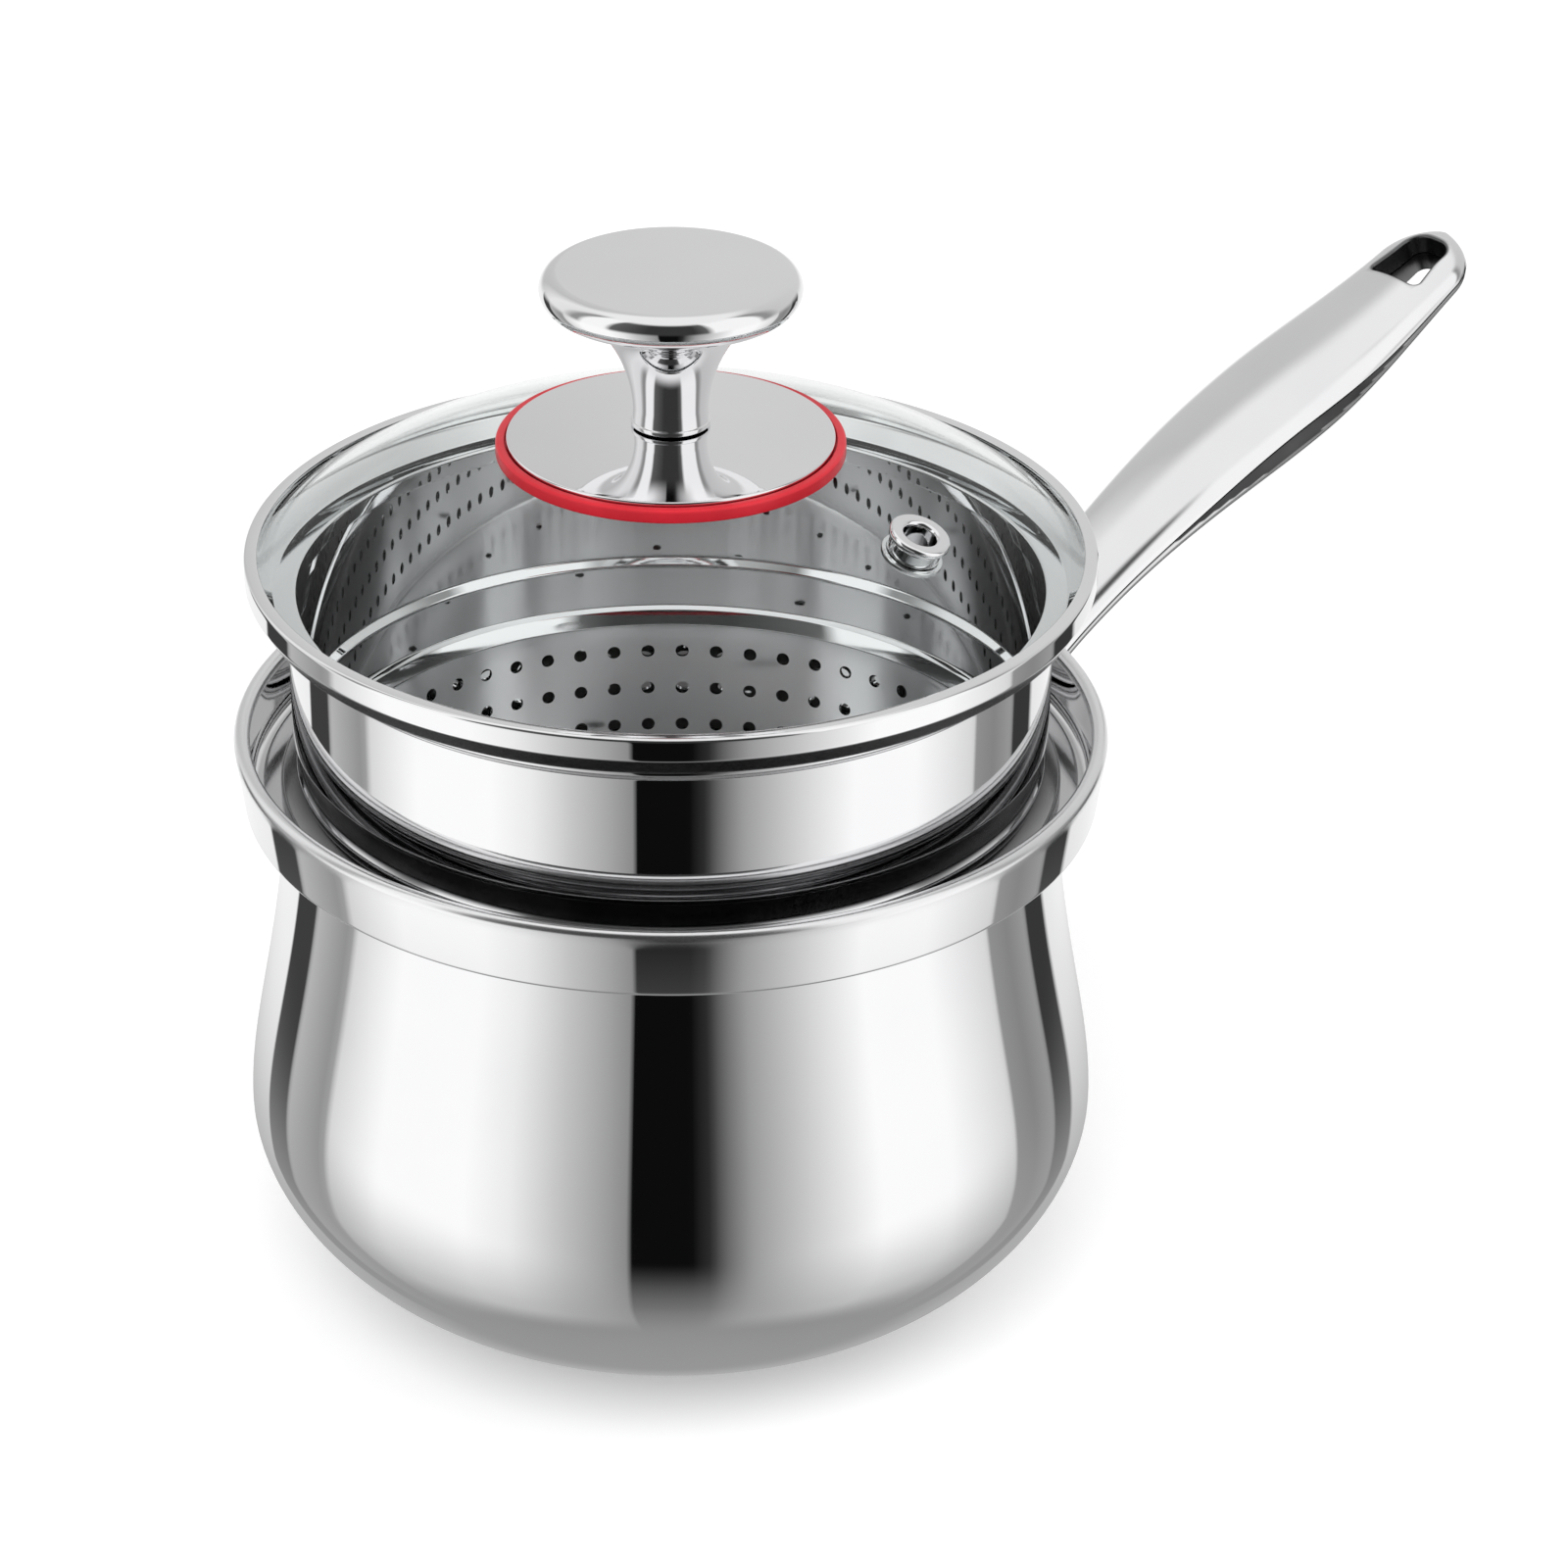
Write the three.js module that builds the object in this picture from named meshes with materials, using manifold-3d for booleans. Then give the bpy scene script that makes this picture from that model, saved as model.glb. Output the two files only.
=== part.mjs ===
// Steamer saucepan: a bellied pot with a collar, a perforated steamer insert and a domed glass lid.
// Millimetres, +Z up. The origin is the centre of the base, on the surface that the pot stands on.
// The handle runs out along +X. The insert and the lid lift off along +Z.

import * as THREE from 'three';
import { mergeGeometries, mergeVertices } from 'three/addons/utils/BufferGeometryUtils.js';
import Module from 'manifold-3d';

// Fits and facets
const gap = 0.3;
const turnSteps = 36;
const knobSteps = 28;
const boreSteps = 12;
const heelSteps = 5;
const shoulderSteps = 4;
const flareSteps = 7;
const rollSteps = 4;
const roundSteps = 2;
const handleSteps = 10;
const tipAngles = [30, 52, 70, 82];
const seamSteps = 16;
const eyeSteps = 6;
const padSteps = 8;

// Pot
const potHeight = 126.2;
const potSheet = 1.5;
const rimRadius = 92;
const rimRoll = 1.7;
const collarHeight = 15.2;
const collarTaper = 1.7;
const collarFillet = 3;
const neckInset = 10.3;
const neckCorner = 1;
const neckFlare = 2.3;
const neckPull = 37;
const shoulderPull = 16.6;
const bellyRadius = 91.6;
const bellyHeight = 37.5;
const bellyPull = 15;
const footRadius = 62;
const footPull = 12.2;

// Sandwich base
const capSheet = 0.8;
const coreThickness = 3.2;
const baseInset = 2;

// Steamer insert
const steamerSheet = 0.9;
const steamerInset = 0.6;
const steamerRise = 43.7;
const steamerRoll = 1.2;
const steamerRollReach = 1.4;
const grooveDrop = 26;
const grooveDepth = 1.6;
const grooveWidth = 5;
const stopBead = 1.3;
const flangeReach = 2.3;
const flangeThickness = 2.2;
const cupInset = 5.2;
const cupDepth = 35.3;
const cupCorner = 6;
const shoulderDrop = 4;
const holeRadius = 1.4;
const holeSides = 4;
const holesPerRow = 48;
const holeRows = 3;
const firstRowDrop = 7.7;
const rowPitch = 9.4;
const bottomRings = 2;
const bottomRingPitch = 24;
const holesPerRing = 6;

// Lid
const lidClearance = 0.4;
const bandSheet = 0.8;
const bandRise = 5.2;
const lipReach = 2.8;
const seatOverhang = 0.8;
const skirtClearance = 0.7;
const skirtDepth = 3.2;
const glassInset = 2.2;
const glassThickness = 3.5;
const crownHeight = 24.1;
const crownPower = 2.8;
const crownRings = 6;

// Steam vent
const ventInset = 28;
const ventAzimuth = -72;
const ventBore = 2.5;
const ventBarrel = 3.6;
const ventFlange = 6;
const ventFlangeThickness = 1.6;
const ventRingThickness = 1.2;
const ventSag = 0.25;

// Knob
const plateRadius = 33.7;
const plateThickness = 1.5;
const ringReach = 1.9;
const ringLap = 5;
const ringLip = 0.8;
const gripHeight = 36.1;
const gripRadius = 26.8;
const gripEdge = 2;
const gripFlareDrop = 3.8;
const stemRadius = 8;
const stemFoot = 0.5;
const stemFootHeight = 1.5;
const stemLength = 4.8;
const stemPull = 24;
const gripPull = 6;
const screwRadius = 2.5;
const screwGrip = 8;
const screwHeadRadius = 5;
const screwHeadHeight = 2.4;
const washerRadius = 9;
const washerThickness = 1.4;
const glassBoreClearance = 1.5;

// Handle
const handleReach = 156;
const handleRise = 78;
const rootSlope = 37.4;
const tipSlope = 27;
const rootPull = 97;
const tipPull = 81;
const rootWidth = 22.5;
const rootThickness = 11;
const waistWidth = 21;
const waistThickness = 10;
const gripWidth = 30.5;
const gripThickness = 16;
const tipWidth = 19;
const tipThickness = 8.5;
const waistPlace = 0.22;
const gripPlace = 0.66;
const sectionPower = 2.9;
const sectionSteps = 16;
const shellSheet = 1.4;
const seamDrop = 0.42;
const eyeLength = 15;
const eyeWall = 4;
const eyeTipRadius = 5.4;
const eyeHalfWidth = 7.3;
const eyeCorner = 1.5;
const padThickness = 2;
const padMargin = 3.5;
const padClearance = 6.5;
const tangLength = 24;

// Levels and radii that follow from the sizes above
const potBottom = capSheet + gap + coreThickness + gap;
const collarBottom = potHeight - collarHeight;
const ledgeTop = collarBottom + potSheet;
const neckRadius = rimRadius - neckInset;
const neckBore = neckRadius - potSheet;
const collarFoot = rimRadius - collarTaper;
const baseRadius = footRadius - baseInset;
const steamerSeat = ledgeTop + gap;
const steamerTop = steamerSeat + steamerRise;
const steamerWall = neckBore - steamerInset;
const steamerBore = steamerWall - steamerSheet;
const cupRadius = neckBore - cupInset;
const cupBottom = ledgeTop - cupDepth;
const lidSeat = steamerTop + gap;
const lidRadius = rimRadius - 2 * rimRoll - lidClearance;
const seatRadius = steamerWall + steamerRollReach + seatOverhang;
const bandSlope = bandRise / (lidRadius - seatRadius);
const bandSkin = bandSheet * Math.hypot(1, bandSlope);
const glassRadius = lidRadius - glassInset;
const glassFoot = lidSeat + (glassRadius - seatRadius) * bandSlope + bandSkin + gap;
const plateBottom = glassTop(0) + gap;
const plateTop = plateBottom + plateThickness;
const washerTop = glassTop(0) - glassThickness - gap;
const screwBore = screwRadius + gap;

const wasm = await Module();
wasm.setup();

// Points and curves in the half plane of radius and height

function at(radius, height) {
  return new THREE.Vector2(radius, height);
}

function arc(radius, height, size, fromDegrees, toDegrees, steps) {
  const points = [];
  for (let i = 0; i <= steps; i += 1) {
    const angle = THREE.MathUtils.degToRad(THREE.MathUtils.lerp(fromDegrees, toDegrees, i / steps));
    points.push(at(radius + size * Math.cos(angle), height + size * Math.sin(angle)));
  }
  return points;
}

// Points along a curve, set off to the left of its run by a distance
function offsetPoints(curve, distance, steps) {
  const points = [];
  for (let i = 0; i <= steps; i += 1) {
    const run = curve.getTangent(i / steps);
    const point = curve.getPoint(i / steps);
    points.push(at(point.x - run.y * distance, point.y + run.x * distance));
  }
  return points;
}

// Height of the glass's outer face at a radius
function glassTop(radius) {
  const edge = glassFoot + glassThickness;
  return edge + crownHeight * (1 - (radius / glassRadius) ** crownPower);
}

// Solids and their cuts

function solidOf(geometry) {
  geometry.deleteAttribute('normal');
  geometry.deleteAttribute('uv');
  const merged = mergeVertices(geometry);
  const index = merged.index.array;
  const triangles = [];
  for (let i = 0; i < index.length; i += 3) {
    const [a, b, c] = index.slice(i, i + 3);
    if (a !== b && b !== c && c !== a) {
      triangles.push(a, b, c);
    }
  }
  return new wasm.Manifold(new wasm.Mesh({
    numProp: 3,
    vertProperties: new Float32Array(merged.attributes.position.array),
    triVerts: new Uint32Array(triangles),
  }));
}

function geometryOf(solid) {
  const mesh = solid.getMesh();
  const geometry = new THREE.BufferGeometry();
  geometry.setAttribute('position', new THREE.BufferAttribute(mesh.vertProperties, 3));
  geometry.setIndex(new THREE.BufferAttribute(mesh.triVerts, 1));
  geometry.computeVertexNormals();
  return geometry;
}

// A profile turned about the Z axis. It runs from axis to axis, or round a ring and back to its start.
function turned(profile, steps) {
  return solidOf(new THREE.LatheGeometry(profile, steps).rotateX(Math.PI / 2));
}

function turnedRing(profile, steps) {
  return turned([...profile, profile[0]], steps);
}

// A closed body through rings of points that run anticlockwise about its direction of travel
function loft(rings) {
  const count = rings[0].length;
  const positions = [];
  const middle = (ring) => ring.reduce((sum, p) => sum.add(p), new THREE.Vector3()).divideScalar(count);
  const triangle = (...corners) => corners.forEach((p) => positions.push(p.x, p.y, p.z));
  for (let j = 0; j < count; j += 1) {
    const k = (j + 1) % count;
    for (let i = 0; i + 1 < rings.length; i += 1) {
      triangle(rings[i][j], rings[i][k], rings[i + 1][k]);
      triangle(rings[i][j], rings[i + 1][k], rings[i + 1][j]);
    }
    triangle(middle(rings[0]), rings[0][k], rings[0][j]);
    triangle(middle(rings.at(-1)), rings.at(-1)[j], rings.at(-1)[k]);
  }
  const geometry = new THREE.BufferGeometry();
  geometry.setAttribute('position', new THREE.Float32BufferAttribute(positions, 3));
  return solidOf(geometry);
}

// Pot body

const shoulderCurve = new THREE.CubicBezierCurve(
  at(bellyRadius, bellyHeight),
  at(bellyRadius, bellyHeight + shoulderPull),
  at(neckRadius + neckFlare, collarBottom - neckPull),
  at(neckRadius, collarBottom),
);

const heelCurve = new THREE.CubicBezierCurve(
  at(footRadius, potBottom),
  at(footRadius + footPull, potBottom),
  at(bellyRadius, bellyHeight - bellyPull),
  at(bellyRadius, bellyHeight),
);

// The belly's outside, from the edge of the flat bottom up to the neck
function bellyOutside(distance) {
  const heel = offsetPoints(heelCurve, -distance, heelSteps);
  const shoulder = offsetPoints(shoulderCurve, -distance, shoulderSteps);
  return [...heel, ...shoulder.slice(1)];
}

function potBody() {
  const rimCentre = at(rimRadius - rimRoll, potHeight - rimRoll);
  const innerFoot = collarFoot - potSheet;
  const wallRun = collarHeight - rimRoll;
  const innerTopDrop = 2 * rimRoll + 0.5 * potSheet;
  const innerTop = rimRadius - potSheet - collarTaper * (innerTopDrop - rimRoll) / wallRun;
  return turned([
    at(0, potBottom),
    ...bellyOutside(0),
    at(innerFoot, collarBottom),
    at(collarFoot, collarBottom + potSheet / 2),
    ...arc(rimCentre.x, rimCentre.y, rimRoll, 0, 225, rollSteps),
    at(innerTop, potHeight - innerTopDrop),
    ...arc(innerFoot - collarFillet, ledgeTop + collarFillet, collarFillet, 0, -90, roundSteps),
    ...arc(neckBore + neckCorner, ledgeTop - neckCorner, neckCorner, 90, 180, 1),
    ...bellyOutside(-potSheet).slice(0, -1).reverse(),
    at(0, potBottom + potSheet),
  ], turnSteps);
}

// Sandwich base

function baseCore() {
  const low = capSheet + gap;
  const top = low + coreThickness;
  const radius = baseRadius - capSheet - gap;
  return turned([at(0, low), at(radius, low), at(radius, top), at(0, top)], turnSteps);
}

function baseCap() {
  const top = potBottom - gap;
  const bore = baseRadius - capSheet;
  return turned([
    at(0, 0),
    at(bore, 0),
    at(baseRadius, capSheet),
    at(baseRadius, top),
    at(bore, top),
    at(bore, capSheet),
    at(0, capSheet),
  ], turnSteps);
}

// Steamer insert: one pressed sheet with a rolled rim, a groove, a stop flange and a perforated cup

function steamerShell() {
  const grooveTop = steamerTop - grooveDrop;
  const grooveWall = steamerWall - grooveDepth;
  const grooveBottom = grooveTop - grooveDepth - grooveWidth;
  const flangeRadius = neckBore + flangeReach;
  const rollCentre = at(steamerWall + steamerRollReach - steamerRoll, steamerTop - steamerRoll);
  const waistTop = steamerSeat + flangeThickness + stopBead;
  return turned([
    at(0, cupBottom),
    ...arc(cupRadius - cupCorner, cupBottom + cupCorner, cupCorner, -90, 0, roundSteps),
    at(cupRadius, steamerSeat - shoulderDrop),
    at(cupRadius + shoulderDrop / 2, steamerSeat),
    at(flangeRadius - flangeThickness / 3, steamerSeat),
    at(flangeRadius, steamerSeat + flangeThickness / 2),
    at(flangeRadius - flangeThickness / 3, steamerSeat + flangeThickness),
    at(grooveWall, waistTop),
    at(grooveWall, grooveBottom - 2 * stopBead),
    at(grooveWall + stopBead, grooveBottom - stopBead),
    at(grooveWall, grooveBottom),
    at(grooveWall, grooveTop - grooveDepth),
    at(steamerWall, grooveTop),
    at(steamerWall, rollCentre.y - steamerRoll),
    ...arc(rollCentre.x, rollCentre.y, steamerRoll, 0, 180, rollSteps),
    at(steamerBore, grooveTop),
    at(grooveWall - steamerSheet, grooveTop - grooveDepth),
    at(grooveWall - steamerSheet, waistTop - stopBead),
    at(cupRadius - steamerSheet, steamerSeat - shoulderDrop),
    ...arc(cupRadius - cupCorner, cupBottom + cupCorner, cupCorner - steamerSheet, 0, -90, roundSteps),
    at(0, cupBottom + steamerSheet),
  ], holesPerRow);
}

// One punch along +Z, centred on its own origin and longer than the sheet is thick
function punch() {
  const length = 6 * steamerSheet;
  return new THREE.CylinderGeometry(holeRadius, holeRadius, length, holeSides).rotateX(Math.PI / 2);
}

// Punches for the rows of holes round the cup, one in the middle of each facet of its wall
function wallPunches() {
  const punches = [];
  const pitch = 2 * Math.PI / holesPerRow;
  for (let row = 0; row < holeRows; row += 1) {
    for (let hole = 0; hole < holesPerRow; hole += 1) {
      const height = ledgeTop - firstRowDrop - row * rowPitch;
      const radial = punch().rotateY(Math.PI / 2);
      radial.translate(cupRadius - steamerSheet / 2, 0, height);
      punches.push(radial.rotateZ((hole + 0.5) * pitch - Math.PI / 2));
    }
  }
  return punches;
}

// Punches for the rings of drain holes in the cup's bottom
function bottomPunches() {
  const punches = [];
  for (let ring = 1; ring <= bottomRings; ring += 1) {
    const count = ring * holesPerRing;
    for (let hole = 0; hole < count; hole += 1) {
      const drain = punch().translate(ring * bottomRingPitch, 0, cupBottom + steamerSheet / 2);
      punches.push(drain.rotateZ(hole * 2 * Math.PI / count));
    }
  }
  return punches;
}

function steamerBasket() {
  const punches = solidOf(mergeGeometries([...wallPunches(), ...bottomPunches()]));
  return steamerShell().subtract(punches);
}

// Lid: a glass dome in a steel band, with a steam vent

const lipRadius = lidRadius - lipReach;
const lipBottom = glassTop(lipRadius) + gap;
const lidTop = lipBottom + bandSheet;

function bandInside(radius) {
  return lidSeat + (radius - seatRadius) * bandSlope + bandSkin;
}

function lidBand() {
  const skirt = steamerBore - skirtClearance;
  const bore = lidRadius - bandSheet;
  return turnedRing([
    at(lipRadius, lipBottom),
    at(bore, lipBottom),
    at(bore, bandInside(bore)),
    at(seatRadius, bandInside(seatRadius)),
    at(skirt - bandSheet, lidSeat + bandSheet),
    at(skirt - bandSheet, lidSeat - skirtDepth),
    at(skirt, lidSeat - skirtDepth),
    at(skirt, lidSeat),
    at(seatRadius, lidSeat),
    at(lidRadius, lidSeat + bandRise),
    at(lidRadius, lidTop - bandSheet),
    at(bore, lidTop),
    at(lipRadius, lidTop),
  ], turnSteps);
}

// The vent's own frame stands on the glass's outer face, square to it
const ventReach = glassRadius - ventInset;
const ventShare = ventReach / glassRadius;
const ventSlope = Math.atan(crownPower * crownHeight / glassRadius * ventShare ** (crownPower - 1));
const ventDepth = glassThickness * Math.cos(ventSlope) + ventSag + gap;

function ventPlace() {
  const place = new THREE.Group();
  place.rotation.set(0, 0, THREE.MathUtils.degToRad(ventAzimuth));
  const tilt = new THREE.Group();
  tilt.position.set(ventReach, 0, glassTop(ventReach));
  tilt.rotation.set(0, ventSlope, 0);
  place.add(tilt);
  place.updateMatrixWorld(true);
  return { place, tilt };
}

function lidGlass() {
  const outside = [];
  for (let i = 0; i <= crownRings; i += 1) {
    const radius = THREE.MathUtils.lerp(screwRadius + glassBoreClearance, glassRadius, i / crownRings);
    outside.push(at(radius, glassTop(radius)));
  }
  const inside = outside.map((p) => at(p.x, p.y - glassThickness));
  const dome = turnedRing([...inside, ...outside.reverse()], turnSteps);
  const drill = new THREE.CylinderGeometry(ventBarrel + gap, ventBarrel + gap, 6 * glassThickness, boreSteps);
  return dome.subtract(solidOf(drill.rotateX(Math.PI / 2).applyMatrix4(ventPlace().tilt.matrixWorld)));
}

function ventEyelet() {
  const low = ventSag + gap;
  const round = ventFlangeThickness / 3;
  return turnedRing([
    at(ventBore, -ventDepth - ventRingThickness),
    at(ventBarrel, -ventDepth - ventRingThickness),
    at(ventBarrel, low),
    at(ventFlange, low),
    at(ventFlange, low + round),
    at(ventFlange - round, low + ventFlangeThickness),
    at(ventBarrel, low + ventFlangeThickness),
    at(ventBore, low + round),
  ], boreSteps);
}

function ventRing() {
  const bore = ventBarrel + gap;
  const top = -ventDepth;
  const low = top - ventRingThickness;
  return turnedRing([at(bore, low), at(ventFlange, low), at(ventFlange, top), at(bore, top)], boreSteps);
}

// Knob: a silicone ring and a plate on the glass, and a turned grip held by a screw from below

function knobRing() {
  const inner = plateRadius - ringLap;
  const outer = plateRadius + gap + ringReach;
  const floor = plateBottom - gap;
  const top = floor + gap + ringLip;
  return turnedRing([
    at(inner, glassTop(inner) + gap),
    at(outer, glassTop(outer) + gap),
    at(outer, top - gap),
    at(outer - gap, top),
    at(plateRadius + gap, top),
    at(plateRadius + gap, floor),
    at(inner, floor),
  ], knobSteps);
}

function knobPlate() {
  const round = plateThickness / 3;
  return turnedRing([
    at(screwBore, plateBottom),
    at(plateRadius - round, plateBottom),
    at(plateRadius, plateBottom + round),
    at(plateRadius, plateTop - round),
    at(plateRadius - round, plateTop),
    at(screwBore, plateTop),
  ], knobSteps);
}

function knobGrip() {
  const low = plateTop + gap;
  const top = low + gripHeight;
  const edge = arc(gripRadius - gripEdge, top - gripEdge, gripEdge, 0, 90, roundSteps);
  const flare = new THREE.CubicBezierCurve(
    at(stemRadius, low + stemLength),
    at(stemRadius, low + stemLength + stemPull),
    at(gripRadius, top - gripFlareDrop - gripPull),
    at(gripRadius, top - gripFlareDrop),
  );
  return turned([
    at(0, low + screwGrip + gap),
    at(screwBore, low + screwGrip + gap),
    at(screwBore, low),
    at(stemRadius + stemFoot, low),
    at(stemRadius + stemFoot, low + stemFootHeight),
    ...flare.getPoints(flareSteps),
    ...edge,
    at(0, top),
  ], knobSteps);
}

function knobWasher() {
  const low = washerTop - washerThickness;
  return turnedRing([
    at(screwBore, low),
    at(washerRadius, low),
    at(washerRadius, washerTop),
    at(screwBore, washerTop),
  ], knobSteps);
}

function knobScrew() {
  const headTop = washerTop - washerThickness - gap;
  const headLow = headTop - screwHeadHeight;
  const round = screwHeadHeight / 3;
  return turned([
    at(0, headLow),
    at(screwHeadRadius - round, headLow),
    at(screwHeadRadius, headLow + round),
    at(screwHeadRadius, headTop),
    at(screwRadius, headTop),
    at(screwRadius, plateTop + gap + screwGrip),
    at(0, plateTop + gap + screwGrip),
  ], boreSteps);
}

// Handle: two pressed shells round a bracket that is welded to the pot

const padHalfHeight = rootThickness / 2 / Math.cos(THREE.MathUtils.degToRad(rootSlope)) + padMargin;
const padHalfWidth = rootWidth / 2 + padMargin;
const rootHeight = collarBottom - padClearance - padHalfHeight;
const handleSink = 3 * padThickness;

// The belly's outer radius at a height
function bellyRadiusAt(height) {
  const points = shoulderCurve.getPoints(64);
  const above = points.findIndex((p) => p.y >= height);
  const [low, high] = [points[above - 1], points[above]];
  return THREE.MathUtils.mapLinear(height, low.y, high.y, low.x, high.x);
}

// The centre line starts inside the pot, so that the pot's own curve trims the handle's root
function handleCentreLine() {
  const root = THREE.MathUtils.degToRad(rootSlope);
  const tip = THREE.MathUtils.degToRad(tipSlope);
  const weld = at(bellyRadiusAt(rootHeight), rootHeight);
  const start = at(weld.x - handleSink * Math.cos(root), weld.y - handleSink * Math.sin(root));
  const end = at(weld.x + handleReach, weld.y + handleRise);
  return new THREE.CubicBezierCurve(
    start,
    at(start.x + rootPull * Math.cos(root), start.y + rootPull * Math.sin(root)),
    at(end.x - tipPull * Math.cos(tip), end.y - tipPull * Math.sin(tip)),
    end,
  );
}

const centreLine = handleCentreLine();
const handleLength = centreLine.getLength();

// A size that eases from the root through the waist and the grip to the tip
function eased(share, root, waist, grip, tip) {
  if (share < waistPlace) {
    return THREE.MathUtils.lerp(root, waist, THREE.MathUtils.smoothstep(share, 0, waistPlace));
  }
  if (share < gripPlace) {
    return THREE.MathUtils.lerp(waist, grip, THREE.MathUtils.smoothstep(share, waistPlace, gripPlace));
  }
  return THREE.MathUtils.lerp(grip, tip, THREE.MathUtils.smoothstep(share, gripPlace, 1));
}

// The matrix of a place along the handle: X along it, Y across it, Z out of its upper face
function handleFrame(distance) {
  const share = THREE.MathUtils.clamp(distance / handleLength, 0, 1);
  const point = centreLine.getPointAt(share);
  const run = centreLine.getTangentAt(share);
  const along = new THREE.Vector3(run.x, 0, run.y);
  const across = new THREE.Vector3(0, 1, 0);
  const out = new THREE.Vector3(-run.y, 0, run.x);
  return new THREE.Matrix4().makeBasis(along, across, out).setPosition(point.x, 0, point.y);
}

// Half the width and half the thickness of the handle at a distance from its root, with its rounded tip
function handleHalves(distance) {
  const share = distance / handleLength;
  const tipRadius = tipWidth / 2;
  const into = THREE.MathUtils.clamp((distance - handleLength + tipRadius) / tipRadius, 0, 1);
  const round = Math.sqrt(1 - into ** 2);
  const width = eased(share, rootWidth, waistWidth, gripWidth, tipWidth);
  const thickness = eased(share, rootThickness, waistThickness, gripThickness, tipThickness);
  return { width: width / 2 * round, thickness: thickness / 2 * (1 + round) / 2 };
}

// An oval section with flattened sides
function ovalRing(frame, halfWidth, halfThickness) {
  const ring = [];
  for (let i = 0; i < sectionSteps; i += 1) {
    const angle = 2 * Math.PI * (i + 0.5) / sectionSteps;
    const y = halfWidth * Math.sign(Math.cos(angle)) * Math.abs(Math.cos(angle)) ** (2 / sectionPower);
    const z = halfThickness * Math.sign(Math.sin(angle)) * Math.abs(Math.sin(angle)) ** (2 / sectionPower);
    ring.push(new THREE.Vector3(0, y, z).applyMatrix4(frame));
  }
  return ring;
}

// The handle's form drawn in by a skin, up to a distance from its root
function handleForm(skin, end) {
  const tipStart = Math.min(end, handleLength - tipWidth / 2);
  const rings = [];
  const ringAt = (distance) => {
    const half = handleHalves(distance);
    rings.push(ovalRing(handleFrame(distance), half.width - skin, half.thickness - skin));
  };
  for (let i = 0; i <= handleSteps; i += 1) {
    ringAt(tipStart * i / handleSteps);
  }
  for (const angle of end > tipStart ? tipAngles : []) {
    ringAt(tipStart + (end - tipStart) * Math.sin(THREE.MathUtils.degToRad(angle)));
  }
  return loft(rings);
}

// All that lies on one side of the seam between the shells
function seamSide(side) {
  const rings = [];
  for (let i = 0; i <= seamSteps; i += 1) {
    const distance = handleLength * i / seamSteps;
    const frame = handleFrame(distance);
    const seam = -seamDrop * handleHalves(Math.min(distance, handleLength - tipWidth / 2)).thickness;
    const [low, high] = side > 0 ? [seam - gap / 2, gripThickness] : [-gripThickness, seam + gap / 2];
    const corners = [[-gripWidth, low], [gripWidth, low], [gripWidth, high], [-gripWidth, high]];
    rings.push(corners.map(([y, z]) => new THREE.Vector3(0, y, z).applyMatrix4(frame)));
  }
  return loft(rings);
}

// The hanging eye: square at its inner end, round at the tip
function eyeCutter() {
  const inner = -eyeLength / 2;
  const tip = eyeLength / 2 - eyeTipRadius;
  const outline = new THREE.Shape();
  outline.moveTo(inner, -eyeHalfWidth + eyeCorner);
  outline.quadraticCurveTo(inner, -eyeHalfWidth, inner + eyeCorner, -eyeHalfWidth);
  outline.lineTo(tip, -eyeTipRadius);
  outline.absarc(tip, 0, eyeTipRadius, -Math.PI / 2, Math.PI / 2, false);
  outline.lineTo(inner + eyeCorner, eyeHalfWidth);
  outline.quadraticCurveTo(inner, eyeHalfWidth, inner, eyeHalfWidth - eyeCorner);
  const depth = 2 * gripThickness;
  const cutter = new THREE.ExtrudeGeometry(outline, { depth, bevelEnabled: false, curveSegments: eyeSteps });
  const middle = handleLength - eyeWall - eyeLength / 2;
  return solidOf(cutter.translate(0, 0, -depth / 2).applyMatrix4(handleFrame(middle)));
}

// The pot's belly as a solid, grown by a distance
function bellySolid(distance) {
  const outside = bellyOutside(distance);
  return turned([at(0, outside[0].y), ...outside, at(0, outside.at(-1).y)], turnSteps);
}

const cavityEnd = handleLength - eyeWall - eyeLength - 2 * shellSheet;

function handleShell(side) {
  const hollow = handleForm(0, handleLength).subtract(handleForm(shellSheet, cavityEnd));
  const trimmed = hollow.subtract(bellySolid(gap + padThickness + gap));
  return trimmed.subtract(seamSide(-side)).subtract(eyeCutter());
}

// The bracket: a pad that follows the pot's wall and a tang inside the handle's root
function handleBracket() {
  const outline = new THREE.Shape();
  outline.absellipse(0, 0, padHalfWidth, padHalfHeight, 0, 2 * Math.PI);
  const depth = 2 * padHalfWidth;
  const column = new THREE.ExtrudeGeometry(outline, { depth, bevelEnabled: false, curveSegments: padSteps });
  column.rotateZ(Math.PI / 2).rotateY(Math.PI / 2);
  column.translate(bellyRadiusAt(rootHeight) - padHalfWidth, 0, rootHeight);
  const pad = solidOf(column).intersect(bellySolid(gap + padThickness));
  const tang = handleForm(shellSheet + gap, handleSink + tangLength);
  return pad.add(tang).subtract(bellySolid(gap));
}

// Finishes

function steel(roughness) {
  return new THREE.MeshStandardMaterial({ color: 0xd4d6d8, roughness, metalness: 1 });
}

function aluminium(roughness) {
  return new THREE.MeshStandardMaterial({ color: 0xb9bcbf, roughness, metalness: 1 });
}

function silicone(color) {
  return new THREE.MeshStandardMaterial({ color, roughness: 0.55, metalness: 0 });
}

function clearGlass() {
  return new THREE.MeshStandardMaterial({
    color: 0xe6eeee, roughness: 0.03, metalness: 0, transparent: true, opacity: 0.3,
  });
}

// Assembly

function piece(name, solid, material) {
  const mesh = new THREE.Mesh(geometryOf(solid), material);
  mesh.name = name;
  return mesh;
}

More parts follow.
